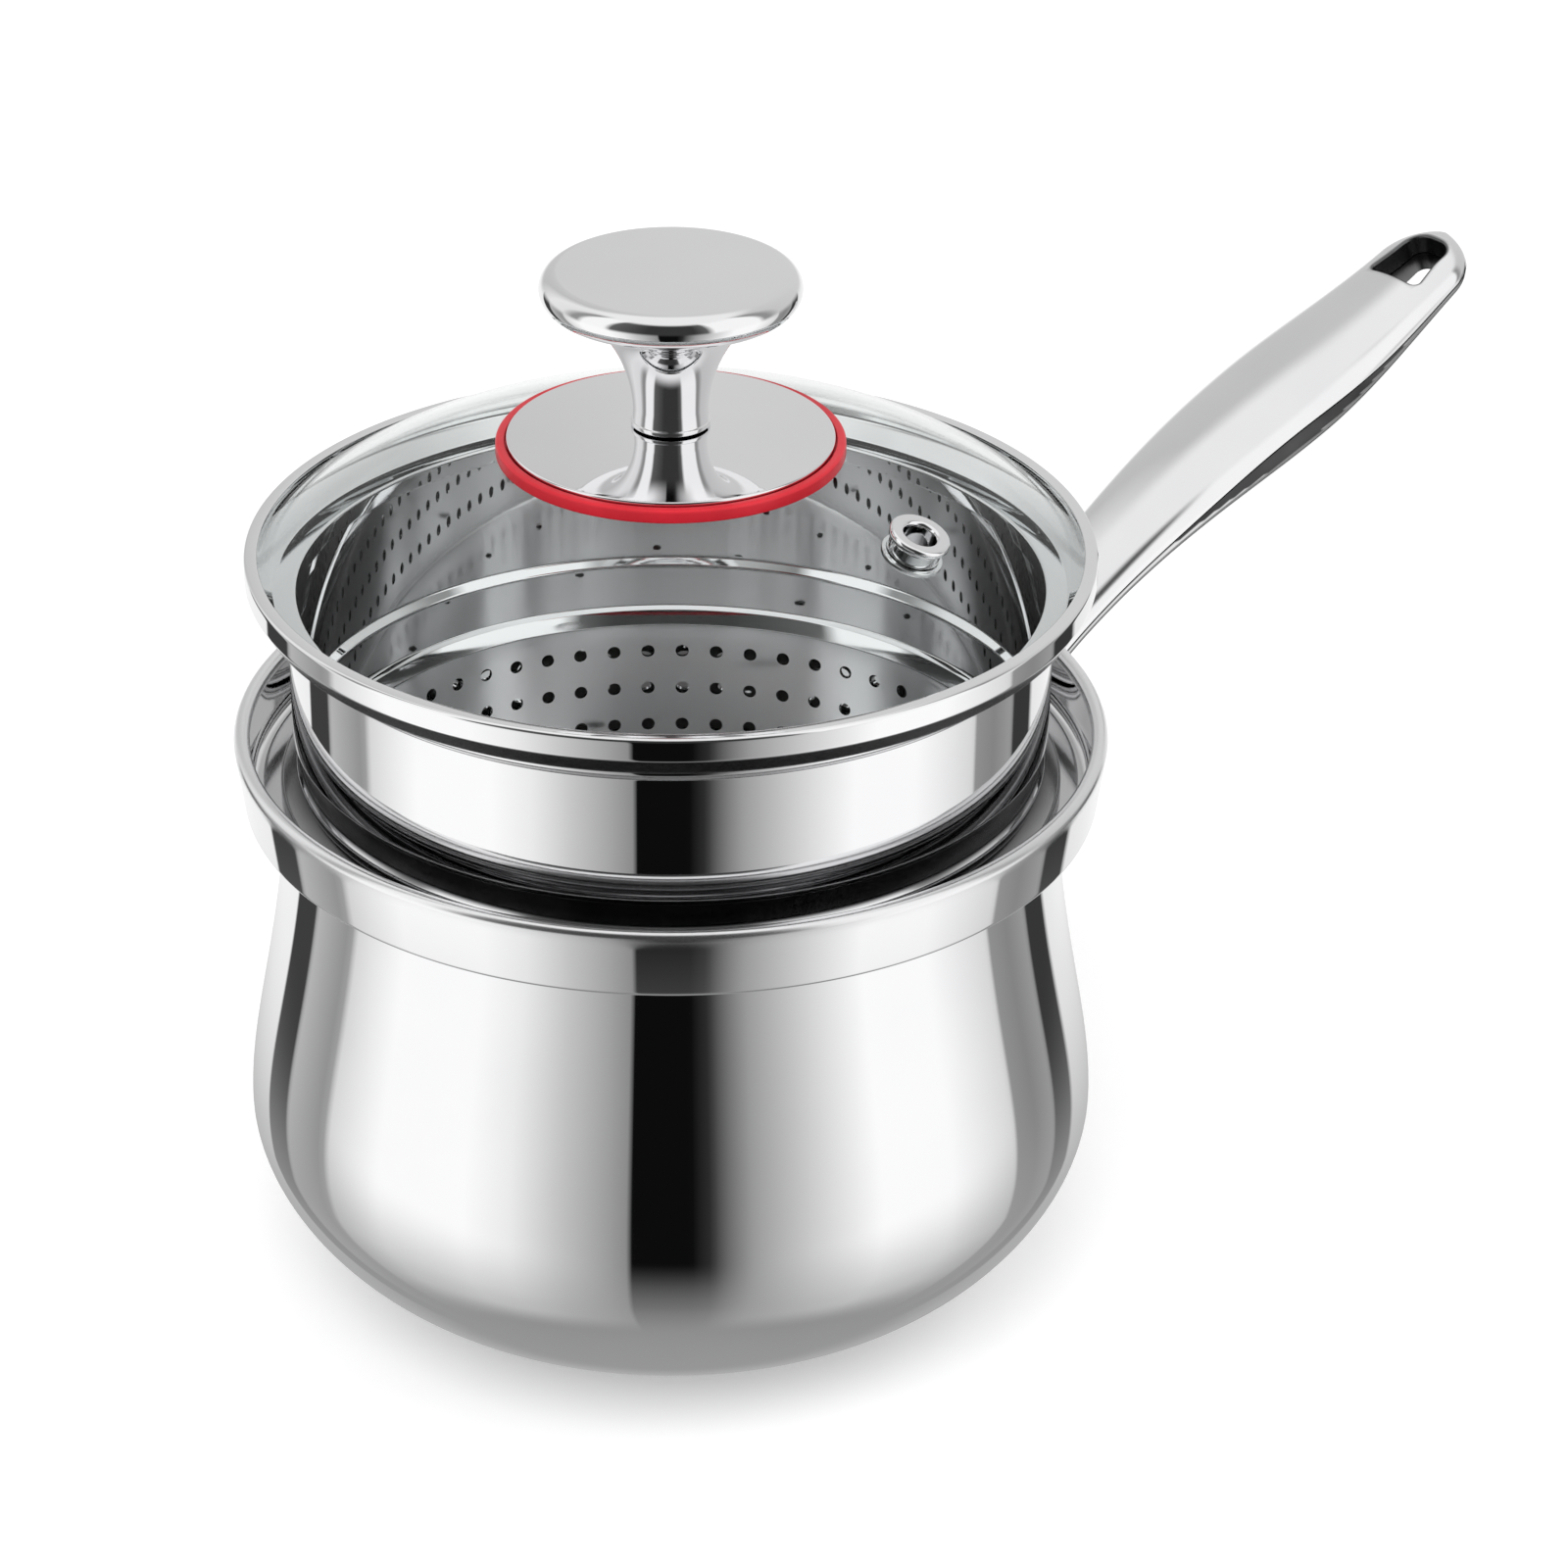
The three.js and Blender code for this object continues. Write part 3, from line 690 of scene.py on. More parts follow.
@dataclass
class Pot:
    """The spun pot and its sandwich base, in millimetres."""

    height: float = 126.2
    sheet: float = 1.5
    rim_radius: float = 92.0
    rim_roll: float = 1.7
    rim_dullness: float = 0.7
    rim_dull_rolls: float = 1.6
    collar_height: float = 15.2
    collar_taper: float = 1.7
    collar_fillet: float = 3.0
    collar_edge: float = 1.0
    ledge_shade: float = 0.4
    neck_inset: float = 10.3
    neck_corner: float = 1.0
    neck_flare: float = 2.3
    neck_pull: float = 37.0
    shoulder_pull: float = 16.6
    shoulder_steps: int = 44
    belly_radius: float = 91.6
    belly_height: float = 37.5
    belly_pull: float = 15.0
    heel_steps: int = 26
    foot_radius: float = 62.0
    foot_pull: float = 12.2
    cap_sheet: float = 0.8
    cap_corner: float = 1.1
    core_thickness: float = 3.2
    base_inset: float = 2.0

    def __post_init__(self) -> None:
        """Work out the heights of the bottom, the collar and its ledge, and the neck's two radii."""
        self.bottom: float = self.cap_sheet + GAP + self.core_thickness + GAP
        self.collar_bottom: float = self.height - self.collar_height
        self.ledge_top: float = self.collar_bottom + self.sheet
        self.neck_radius: float = self.rim_radius - self.neck_inset
        self.neck_bore: float = self.neck_radius - self.sheet

    def belly(self, distance: float) -> list[Point]:
        """Lay out the belly's run from the flat bottom up to the neck.

        Args:
            distance: How far the run is grown outwards.

        Returns:
            The points of the run.
        """
        foot, widest = (self.foot_radius, self.bottom), (self.belly_radius, self.belly_height)
        heel = bezier(
            foot, (foot[0] + self.foot_pull, foot[1]), (widest[0], widest[1] - self.belly_pull), widest,
            self.heel_steps,
        )
        shoulder = bezier(
            widest, (widest[0], widest[1] + self.shoulder_pull),
            (self.neck_radius + self.neck_flare, self.collar_bottom - self.neck_pull),
            (self.neck_radius, self.collar_bottom), self.shoulder_steps,
        )
        return [(p.x + run.y * distance, p.y - run.x * distance) for p, run in heel + shoulder[1:]]

    def belly_radius_at(self, height: float) -> float:
        """Find the belly's outer radius.

        Args:
            height: A height on the belly.

        Returns:
            The radius there, or the neck's radius above the belly.
        """
        run = self.belly(0)
        for (r0, z0), (r1, z1) in zip(run, run[1:]):
            if z0 <= height <= z1 and z1 > z0:
                return r0 + (r1 - r0) * (height - z0) / (z1 - z0)
        return self.neck_radius

    def body(self) -> Piece:
        """Make the pot's body.

        Returns:
            The body.
        """
        bead = self.rim_roll
        foot = self.rim_radius - self.collar_taper
        roll = arc((self.rim_radius - bead, self.height - bead), bead, range(0, 226, 15))
        drop = 2 * bead + self.sheet / 2
        share = (drop - bead) / (self.collar_height - bead)
        inner_top = self.rim_radius - self.sheet - self.collar_taper * share
        inside = self.belly(-self.sheet)[:-1]
        corners = [
            (0, self.bottom, 0), *sharp(self.belly(0)[:-1]), (self.neck_radius, self.collar_bottom, GENTLE),
            (foot, self.collar_bottom, self.collar_edge), *sharp(roll),
            (inner_top, self.height - drop, EASED), (foot - self.sheet, self.ledge_top, self.collar_fillet),
            (self.neck_bore, self.ledge_top, self.neck_corner), *sharp(inside[::-1]),
            (0, self.bottom + self.sheet, 0),
        ]
        return turned("pot_spun_body", corners, TURN_STEPS)

    def on_ledge(self, point: Vector) -> float:
        """Return how dark a point is: shade painted on the ledge that the insert sits on, and 0 elsewhere."""
        over = self.neck_bore - self.neck_corner < point.xy.length < self.rim_radius - 2 * self.rim_roll
        return self.ledge_shade if over and abs(point.z - self.ledge_top) < NEAR else 0.0

    def on_rim(self, point: Vector) -> float:
        """Return how dull a point is: most on the rolled rim and 0 elsewhere."""
        return self.rim_dullness if point.z > self.height - self.rim_dull_rolls * self.rim_roll else 0.0

    def base_core(self) -> Piece:
        """Make the aluminium disc in the base.

        Returns:
            The disc.
        """
        low = self.cap_sheet + GAP
        top = low + self.core_thickness
        radius = self.foot_radius - self.base_inset - self.cap_sheet - GAP
        corners = [(0, low, 0), (radius, low, MILD), (radius, top, MILD), (0, top, 0)]
        return turned("base_core_disc", corners, TURN_STEPS)

    def base_cap(self) -> Piece:
        """Make the steel cap round the disc.

        Returns:
            The cap.
        """
        radius, sheet, top = self.foot_radius - self.base_inset, self.cap_sheet, self.bottom - GAP
        bore = radius - sheet
        corners = [
            (0, 0, 0), (radius, 0, self.cap_corner), (radius, top, EASED), (bore, top, EASED),
            (bore, sheet, EASED), (0, sheet, 0),
        ]
        return turned("base_cap_dish", corners, TURN_STEPS)

    def build(self) -> None:
        """Make and dress the pot's pieces."""
        body = self.body()
        # Shade is painted on the ledge under the insert
        marked(body, Mark.RECESS, self.on_ledge)
        marked(body, Mark.DULL, self.on_rim)
        dress(body, "pot_body", Body.POT, MIRROR_STEEL)
        dress(self.base_core(), "base_core", Body.POT, BASE_ALUMINIUM)
        dress(self.base_cap(), "base_cap", Body.POT, SATIN_STEEL)


@dataclass
class Handle:
    """The hollow handle's two shells and its bracket, in millimetres and degrees."""

    pot: Pot
    reach: float = 156.0
    rise: float = 78.0
    root_slope: float = 37.4
    tip_slope: float = 27.0
    root_pull: float = 97.0
    tip_pull: float = 81.0
    root_depth: float = 6.0
    widths: tuple[float, ...] = (22.5, 21.5, 31.5, 23.0)
    thicknesses: tuple[float, ...] = (11.0, 10.5, 16.5, 9.5)
    places: tuple[float, ...] = (0.0, 0.2, 0.66, 1.0)
    crown_power: float = 2.1
    section_power: float = 2.7
    section_limit: float = 0.98
    seam_drop: float = 0.04
    seam_lip: float = 0.5
    seam_lip_share: float = 0.3
    seam_swell: float = 0.26
    seam_line: float = 0.3
    seam_shade: float = 3.7
    seam_span: tuple[float, float] = (0.34, 0.88)
    web_steps: int = 8
    web_share: float = 0.9
    eye_length: float = 15.0
    eye_wall: float = 4.0
    eye_tip_radius: float = 5.6
    eye_half_width: float = 7.2
    eye_corner: float = 1.5
    eye_knee: Corner = (2.0, 0.3, 6.0)
    eye_end: Point = (5.4, 5.2)
    eye_lip: float = 0.9
    eye_lip_steps: int = 6
    eye_taper: float = 0.66
    eye_overshoot: float = 6.0
    eye_skim: float = 0.02
    eye_limits: Point = (0.1, 0.97)
    eye_shade: float = 0.9
    eye_shade_reach: float = 0.5
    eye_shade_fade: float = 0.6
    pad_thickness: float = 2.0
    pad_margin: float = 3.5
    pad_clearance: float = 6.5
    pad_edge: float = 0.7
    pad_edge_steps: int = 6
    pad_spokes: int = 96
    pad_rings: int = 10
    section_steps: int = 64
    body_steps: int = 110
    tip_steps: int = 22
    line_steps: int = 400
    seam_stride: int = 8
    line: list[tuple[float, Vector, Vector]] = field(default_factory=list)

    def __post_init__(self) -> None:
        """Lay out the pad, the centre line with the distance along it, the tip and the eye."""
        slopes = (math.radians(self.root_slope), math.radians(self.tip_slope))
        root, tip = (Vector((math.cos(slope), math.sin(slope))) for slope in slopes)
        self.pad_half_height: float = self.thicknesses[0] / 2 / math.cos(slopes[0]) + self.pad_margin
        self.root_height: float = self.pot.collar_bottom - self.pad_clearance - self.pad_half_height
        weld = Vector((self.pot.belly_radius_at(self.root_height), self.root_height))
        start, end = weld - root * self.root_depth, weld + Vector((self.reach, self.rise))
        pull, draw = start + root * self.root_pull, end - tip * self.tip_pull
        self.length: float = 0.0
        last = start
        for point, run in bezier(tuple(start), tuple(pull), tuple(draw), tuple(end), self.line_steps):
            self.length += (point - last).length
            last = point
            self.line.append((self.length, point, run))
        self.tip_start: float = self.length - self.widths[-1] / 2
        self.eye_middle: float = self.length - self.eye_wall - self.eye_length / 2

    def frame_at(self, distance: float) -> Matrix:
        """Find a place along the handle.

        Args:
            distance: Distance along the centre line.

        Returns:
            The matrix of the place: X along the handle, Y across it, Z out of its upper face.
        """
        index = bisect_right(self.line, distance, key=lambda sample: sample[0]) - 1
        index = min(max(index, 0), len(self.line) - 2)
        (d0, p0, r0), (d1, p1, r1) = self.line[index], self.line[index + 1]
        t = clamped((distance - d0) / (d1 - d0))
        point, run = p0.lerp(p1, t), r0.lerp(r1, t).normalized()
        return Matrix(((run.x, 0, -run.y, point.x), (0, 1, 0, 0), (run.y, 0, run.x, point.y), (0, 0, 0, 1)))

    def halves(self, distance: float) -> Point:
        """Find half the width and half the thickness, with the rounded tip.

        Args:
            distance: Distance along the centre line.

        Returns:
            The two halves.
        """
        share = clamped(distance / self.length)
        span = max(i for i, place in enumerate(self.places[:-1]) if share >= place)
        t = (share - self.places[span]) / (self.places[span + 1] - self.places[span])
        t = t * t * (3 - 2 * t)
        width, thickness = (
            sizes[span] + (sizes[span + 1] - sizes[span]) * t for sizes in (self.widths, self.thicknesses)
        )
        into = clamped((distance - self.tip_start) / (self.length - self.tip_start))
        bend = math.sqrt(max(1 - into * into, 0.0))
        return width / 2 * bend, thickness / 2 * (1 + bend) / 2

    def power(self, height: float) -> float:
        """Return the power of the section's curve above or below the centre line."""
        return self.crown_power if height > 0 else self.section_power

    def swell_at(self, distance: float) -> float:
        """Return how far the seam has risen, and the shade painted under it widened, at a distance, from 0 to
        1.
        """
        first, last = self.seam_span
        return math.sin(math.pi * clamped((distance / self.length - first) / (last - first))) ** 2

    def seam_at(self, distance: float) -> float:
        """Return the seam's height above the centre line at a distance."""
        half_thickness = self.halves(min(distance, self.tip_start))[1]
        return (self.seam_swell * self.swell_at(distance) - self.seam_drop) * half_thickness

    def half_section(self, distance: float, side: int) -> list[Point]:
        """Lay out one shell's closed section, with both edges turned in by a small lip along the seam.

        Args:
            distance: Place along the handle.
            side: 1 for the upper shell and -1 for the lower.

        Returns:
            The section's points across and out, anticlockwise from its seam.
        """
        half_width, half_thickness = self.halves(distance)
        seam = self.seam_at(distance) + side * GAP / 2
        sine = min(abs(seam) / half_thickness, self.section_limit) ** (self.power(seam) / 2)
        start = math.copysign(math.asin(sine), seam) * side
        first, last = (start, math.pi - start) if side > 0 else (math.pi + start, 2 * math.pi - start)
        points = []
        for i in range(self.section_steps + 1):
            angle = first + (last - first) * i / self.section_steps
            c, s = math.cos(angle), math.sin(angle)
            bend = 2 / self.power(s)
            y = half_width * math.copysign(abs(c) ** bend, c)
            points.append((y, half_thickness * math.copysign(abs(s) ** bend, s)))
        lip = min(self.seam_lip, self.seam_lip_share * half_width)
        left, right = points[-1][0], points[0][0]
        web = [left * (1 - 2 * i / self.web_steps) * self.web_share for i in range(1, self.web_steps)]
        across = [left + math.copysign(lip, -left), *web, right + math.copysign(lip, -right)]
        return points + [(y, seam) for y in across]

    def shell(self, side: int) -> Piece:
        """Make one shell, from inside the pot's wall to its tip.

        Args:
            side: 1 for the upper shell and -1 for the lower.

        Returns:
            The shell, not yet cut.
        """
        start, tip = self.tip_start, self.length - self.tip_start
        places = [start * i / self.body_steps for i in range(self.body_steps + 1)]
        places += [start + tip * math.sin(math.pi / 2 * i / self.tip_steps) for i in range(1, self.tip_steps)]
        rings = []
        for place in places:
            matrix = self.frame_at(place)
            rings.append([matrix @ Vector((0, y, z)) for y, z in self.half_section(place, side)])
        return lofted("handle_upper_half" if side > 0 else "handle_lower_half", rings)

    def belly_cutter(self) -> Piece:
        """Make the pot's belly grown to the outer face of the bracket's pad.

        Returns:
            The cutter.
        """
        outside = self.pot.belly(GAP + self.pad_thickness + GAP)
        work = bmesh.new()
        turn(work, [(0, outside[0][1]), *outside, (0, outside[-1][1])], TURN_STEPS)
        return made("belly_cutter", work)

    def eye_outline(self) -> list[Point]:
        """Lay out the hanging eye: square at its inner end and round at the tip.

        Returns:
            The outline's points.
        """
        tip = self.eye_length / 2 - self.eye_tip_radius
        knee_back, knee_out, knee_round = self.eye_knee
        end_half, end_round = self.eye_end
        corners = [
            (-self.eye_length / 2, -self.eye_half_width, self.eye_corner),
            (tip - knee_back, -self.eye_tip_radius - knee_out, knee_round),
            (tip + self.eye_tip_radius, -end_half, end_round),
        ]
        mirrored = [(x, -y, fillet) for x, y, fillet in reversed(corners)]
        return refined(rounded(corners + mirrored, ring=True), longest=1.0, ring=True)

    def eye_ring(self, side: int, share: float, lift: float | None) -> list[Vector]:
        """Lay out one ring of the eye's cutter.

        Args:
            side: 1 for the upper face of the handle and -1 for the lower.
            share: How far out over the rounded lip the ring lies, from 0 to 1.
            lift: Height of the ring off the face, if it doesn't lie on the lip.

        Returns:
            The ring's points.
        """
        outline, matrix = self.eye_outline(), self.frame_at(self.eye_middle)
        angle = math.pi / 2 * share
        out, deep = self.eye_lip * (1 - math.cos(angle)), self.eye_lip * (1 - math.sin(angle))
        shrink, power = self.eye_taper if side < 0 else 1.0, self.power(side)
        narrowest, widest = self.eye_limits
        ring = []
        for index, (x, y) in enumerate(outline):
            run = (Vector(outline[(index + 1) % len(outline)]) - Vector(outline[index - 1])).normalized()
            along, across = x * shrink + run.y * out, y * shrink - run.x * out
            half_width, half_thickness = self.halves(self.eye_middle + along)
            flat = 1 - min(abs(across) / max(half_width, narrowest), widest) ** power
            height = half_thickness * flat ** (1 / power) + (self.eye_skim - deep if lift is None else lift)
            ring.append(matrix @ Vector((along, across, side * height)))
        return ring

    def eye_cutter(self) -> Piece:
        """Make the eye's cutter, which narrows downwards and flares to a rounded lip at both faces.

        Returns:
            The cutter.
        """
        shares = [i / self.eye_lip_steps for i in range(self.eye_lip_steps + 1)]
        rings = [self.eye_ring(-1, 1.0, self.eye_overshoot)]
        rings += [self.eye_ring(-1, share, None) for share in reversed(shares)]
        rings += [self.eye_ring(1, share, None) for share in shares]
        rings.append(self.eye_ring(1, 1.0, self.eye_overshoot))
        return lofted("eye_cutter", rings)

    def eye_rule(self) -> Rule:
        """Make the rule that marks the shade painted on the wall of the eye's bore.

        Returns:
            The rule.
        """
        inverse = self.frame_at(self.eye_middle).inverted()
        outline = [Vector(p) for p in self.eye_outline()]

        def rule(point: Vector) -> float:
            """Tell how dark a point is.

            Args:
                point: A point of a shell.

            Returns:
                The bore's painted shade inside the eye's outline, falling to 0 over its lip.
            """
            place = inverse @ point
            if abs(place.x) > self.eye_length or abs(place.z) > self.thicknesses[-1]:
                return 0.0
            crossings = sum(
                (a.y > place.y) != (b.y > place.y)
                and place.x < a.x + (place.y - a.y) * (b.x - a.x) / (b.y - a.y)
                for a, b in zip(outline, outline[1:] + outline[:1])
            )
            if crossings % 2:
                return self.eye_shade
            beyond = max(min((place.xy - p).length for p in outline) - self.eye_shade_reach, 0.0)
            return self.eye_shade * max(0.0, 1 - beyond / (self.eye_shade_fade * self.eye_lip))

        return rule

    def seam_rule(self) -> Rule:
        """Make the rule that marks the shade painted under the seam, widest in the middle of its span.

        Returns:
            The rule.
        """
        samples = self.line[:: self.seam_stride]

        def rule(point: Vector) -> float:
            """Tell how dark a point is.

            Args:
                point: A point of the lower shell.

            Returns:
                1 on the shell's side as far down as the painted shade reaches, and 0 elsewhere.
            """
            flat = Vector((point.x, point.z))
            start, middle, run = min(samples, key=lambda sample: (sample[1] - flat).length_squared)
            distance = start + (flat - middle).dot(run)
            depth = self.seam_line + self.seam_shade * self.swell_at(distance)
            height = (flat - middle).dot(Vector((-run.y, run.x)))
            return 1.0 if height > self.seam_at(distance) - depth else 0.0

        return rule

    def bracket(self) -> Piece:
        """Make the pad that follows the pot's wall under the handle's root.

        Returns:
            The pad.
        """
        half_width, half_height = self.widths[0] / 2 + self.pad_margin, self.pad_half_height
        edge, rings, top = self.pad_edge, self.pad_rings, GAP + self.pad_thickness

        def point(share: float, angle: float, lift: float) -> Vector:
            """Find a point of the pad.

            Args:
                share: Share of the pad's radius.
                angle: Angle round its middle.
                lift: Height off the pot's wall.

            Returns:
                The point, in metres.
            """
            y = half_width * share * math.cos(angle)
            z = self.root_height + half_height * share * math.sin(angle)
            radius = self.pot.belly_radius_at(z) + lift
            return Vector((math.sqrt(radius * radius - y * y), y, z)) * MM

        bends = [math.pi / 2 * i / self.pad_edge_steps for i in range(self.pad_edge_steps + 1)]
        levels = [((i + 1) / rings, GAP) for i in range(rings - 1)] + [(1.0, GAP)]
        levels += [
            (1 - (1 - math.cos(a)) * edge / half_width, top - edge * (1 - math.sin(a))) for a in bends
        ]
        levels += [((1 - edge / half_width) * (1 - i / rings), top) for i in range(1, rings)]
        angles = [2 * math.pi * k / self.pad_spokes for k in range(self.pad_spokes)]
        work = bmesh.new()
        rows = [[work.verts.new(point(share, a, lift)) for a in angles] for share, lift in levels]
        bridge(work, rows)
        fan(work, rows[0], point(0.0, 0.0, GAP))
        fan(work, rows[-1], point(0.0, 0.0, top))
        return made("handle_weld_pad", work)

    def build(self) -> None:
        """Make and dress the handle's pieces."""
        cutters = (self.belly_cutter(), self.eye_cutter())
        eye, seam = self.eye_rule(), self.seam_rule()
        for side, node in ((1, "handle_top_shell"), (-1, "handle_bottom_shell")):
            shell = self.shell(side)
            for cutter in cutters:
                cut(shell, cutter)
            # Shade is painted into the eye's bore on both shells, and on the lower shell also under the seam
            marked(shell, Mark.RECESS, eye if side > 0 else lambda point: max(eye(point), seam(point)))
            dress(shell, node, Body.POT, HANDLE_STEEL)
        for cutter in cutters:
            bpy.data.objects.remove(cutter)
        dress(self.bracket(), "handle_bracket", Body.POT, SATIN_STEEL)


class PunchedRows:
    """The node tree that sets punched tiles in rows round the axis and joins them to a turned sheet."""

    INPUTS = {
        "Sheet": "NodeSocketGeometry", "Tile": "NodeSocketObject", "Holes Per Row": "NodeSocketInt",
        "Rows": "NodeSocketInt", "Row Drop": "NodeSocketFloat", "Finish": "NodeSocketMaterial",
    }

    def __init__(self) -> None:
        """Build the tree and keep its sockets."""
        self.tree = bpy.data.node_groups.new("punched_rows", "GeometryNodeTree")
        socket = self.tree.interface.new_socket
        socket("Geometry", in_out="OUTPUT", socket_type="NodeSocketGeometry")
        self.sockets = {
            name: socket(name, in_out="INPUT", socket_type=kind) for name, kind in self.INPUTS.items()
        }
        self._wire()

    def _wire(self) -> None:
        """Add the tree's nodes and links."""
        tree = self.tree
        given = tree.nodes.new("NodeGroupInput").outputs
        index = tree.nodes.new("GeometryNodeInputIndex").outputs[0]
        share = maths(tree, "DIVIDE", index, given["Holes Per Row"])
        fall = maths(tree, "MULTIPLY", maths(tree, "FLOOR", share), given["Row Drop"])
        place = added(tree, "ShaderNodeCombineXYZ", {"Z": maths(tree, "MULTIPLY", fall, -1.0)})
        about = added(tree, "ShaderNodeCombineXYZ", {"Z": maths(tree, "MULTIPLY", share, 2 * math.pi)})
        rotation = added(tree, "FunctionNodeEulerToRotation", {0: about.outputs[0]})
        count = maths(tree, "MULTIPLY", given["Holes Per Row"], given["Rows"])
        points = added(tree, "GeometryNodePoints", {"Count": count, "Position": place.outputs[0]})
        tile = added(tree, "GeometryNodeObjectInfo", {"Object": given["Tile"], "As Instance": True})
        copies = added(tree, "GeometryNodeInstanceOnPoints", {
            "Points": points.outputs[0], "Instance": tile.outputs["Geometry"],
            "Rotation": rotation.outputs[0],
        })
        join = added(tree, "GeometryNodeJoinGeometry", {0: copies.outputs[0]})
        feed(tree, join, {0: given["Sheet"]})
        real = added(tree, "GeometryNodeRealizeInstances", {0: join.outputs[0]})
        weld = added(tree, "GeometryNodeMergeByDistance", {0: real.outputs[0], "Distance": 10 * WELD})
        finish = added(tree, "GeometryNodeSetMaterial", {0: weld.outputs[0], "Material": given["Finish"]})
        added(tree, "NodeGroupOutput", {0: finish.outputs[0]})

    def apply(self, sheet: Piece, tile: Piece, holes: int, rows: int, drop: float) -> None:
        """Add rows of tiles to a sheet as a modifier.

        Args:
            sheet: The turned sheet.
            tile: One punched tile of the first row.
            holes: Holes in a row.
            rows: Number of rows.
            drop: Height from row to row, in metres.
        """
        modifier = sheet.modifiers.new("rows", "NODES")
        modifier.node_group = self.tree
        values = {"Tile": tile, "Holes Per Row": holes, "Rows": rows, "Row Drop": drop}
        for name, value in {**values, "Finish": MIRROR_STEEL.material()}.items():
            modifier[self.sockets[name].identifier] = value


@dataclass
class Steamer:
    """The perforated steamer insert, in millimetres."""

    pot: Pot
    sheet: float = 0.9
    inset: float = 0.6
    rise: float = 43.7
    roll: float = 1.2
    roll_reach: float = 1.4
    roll_neck: float = 1.6
    groove_drop: float = 30.0
    groove_depth: float = 1.6
    groove_width: float = 5.0
    groove_edge: float = 0.8
    groove_fade: float = 0.4
    stop_bead: float = 1.3
    flange_reach: float = 2.3
    flange_thickness: float = 2.2
    flange_shade: float = 0.7
    cup_inset: float = 5.2
    cup_depth: float = 35.3
    cup_corner: float = 6.0
    cup_dullness: float = 0.3
    shoulder_drop: float = 4.0
    shoulder_round: float = 3.0
    inner_drop: float = 1.4
    inner_reach: float = 1.7
    inner_beads: float = 1.4
    longest: float = 4.0
    hole_radius: float = 1.4
    hole_lip: float = 0.12
    hole_margin: float = 1.45
    holes_per_row: int = 60
    hole_rows: int = 3
    first_row_drop: float = 7.7
    row_pitch: float = 9.4
    tile_half: float = 2.8
    tile_steps: int = 6
    drain_rings: int = 2
    drain_pitch: float = 29.0
    drains_per_ring: int = 6

    def __post_init__(self) -> None:
        """Work out the heights seat, top, cup_bottom and first_row, and the radii of wall, groove and cup."""
        self.seat: float = self.pot.ledge_top + GAP
        self.top: float = self.seat + self.rise
        self.wall: float = self.pot.neck_bore - self.inset
        self.bore: float = self.wall - self.sheet
        self.groove: float = self.wall - self.groove_depth
        self.cup: float = self.pot.neck_bore - self.cup_inset
        self.cup_bottom: float = self.pot.ledge_top - self.cup_depth
        self.first_row: float = self.pot.ledge_top - self.first_row_drop
        self.steps: int = self.holes_per_row * self.tile_steps

    def upper_run(self) -> list[Point]:
        """Lay out the run from the cup's outside, over the rim, to the cup's inside.

        Returns:
            The points of the run.
        """
        seat, thick, bead = self.seat, self.flange_thickness, self.stop_bead
        groove, groove_top = self.groove, self.top - self.groove_drop
        groove_low = groove_top - self.groove_depth - self.groove_width
        flange, inside = self.pot.neck_bore + self.flange_reach, self.cup - self.sheet
        centre = (self.wall + self.roll_reach - self.roll, self.top - self.roll)
        waist = seat + thick + bead
        start = self.first_row + self.tile_half
        corners = [
            (self.cup, start, 0), (self.cup, seat - self.shoulder_drop, self.shoulder_round),
            (self.cup + self.shoulder_drop / 2, seat, SOFT), (flange, seat, ROUND),
            (flange, seat + thick, ROUND), (groove, waist, GENTLE), (groove, groove_low - 2 * bead, SOFT),
            (groove + bead, groove_low - bead, FULL), (groove, groove_low, SOFT),
            (groove, groove_top - self.groove_depth, ROUND), (self.wall, groove_top, GENTLE),
            (self.wall, centre[1] - self.roll_neck * self.roll, MILD),
            *sharp(arc(centre, self.roll, range(-60, 181, 15))), (self.bore, groove_top, GENTLE),
            (groove - self.sheet, groove_top - self.groove_depth, ROUND),
            (groove - self.sheet, waist - bead, MILD),
            (inside + self.inner_reach, waist - self.inner_beads * bead, MILD),
            (inside, seat - self.inner_drop, ROUND), (inside, start, 0),
        ]
        return refined(rounded(corners), self.longest)

    def floor_runs(self) -> list[list[Point]]:
        """Lay out the runs of the cup's bottom inside and outside its drain rings.

        Returns:
            The runs of the lower skin and then of the upper.
        """
        inner, outer = self.drain_pitch / 2, self.drain_pitch * (self.drain_rings + 0.5)
        rise = self.first_row - (self.hole_rows - 1) * self.row_pitch - self.tile_half
        runs = []
        for skin in (0.0, self.sheet):
            level, radius = self.cup_bottom + skin, self.cup - skin
            corners = [(outer, level, 0), (radius, level, self.cup_corner - skin), (radius, rise, 0)]
            runs += [[(0.0, level), (inner / 2, level), (inner, level)], rounded(corners)]
        return runs

    def wall_strips(self) -> list[list[Point]]:
        """Lay out the plain strips between the rows of holes.

        Returns:
            The strips of both skins.
        """
        strips = []
        for row in range(self.hole_rows - 1):
            high = self.first_row - row * self.row_pitch - self.tile_half
            low = self.first_row - (row + 1) * self.row_pitch + self.tile_half
            for radius in (self.cup, self.cup - self.sheet):
                strips.append([(radius, z) for z in (low, (low + high) / 2, high)])
        return strips

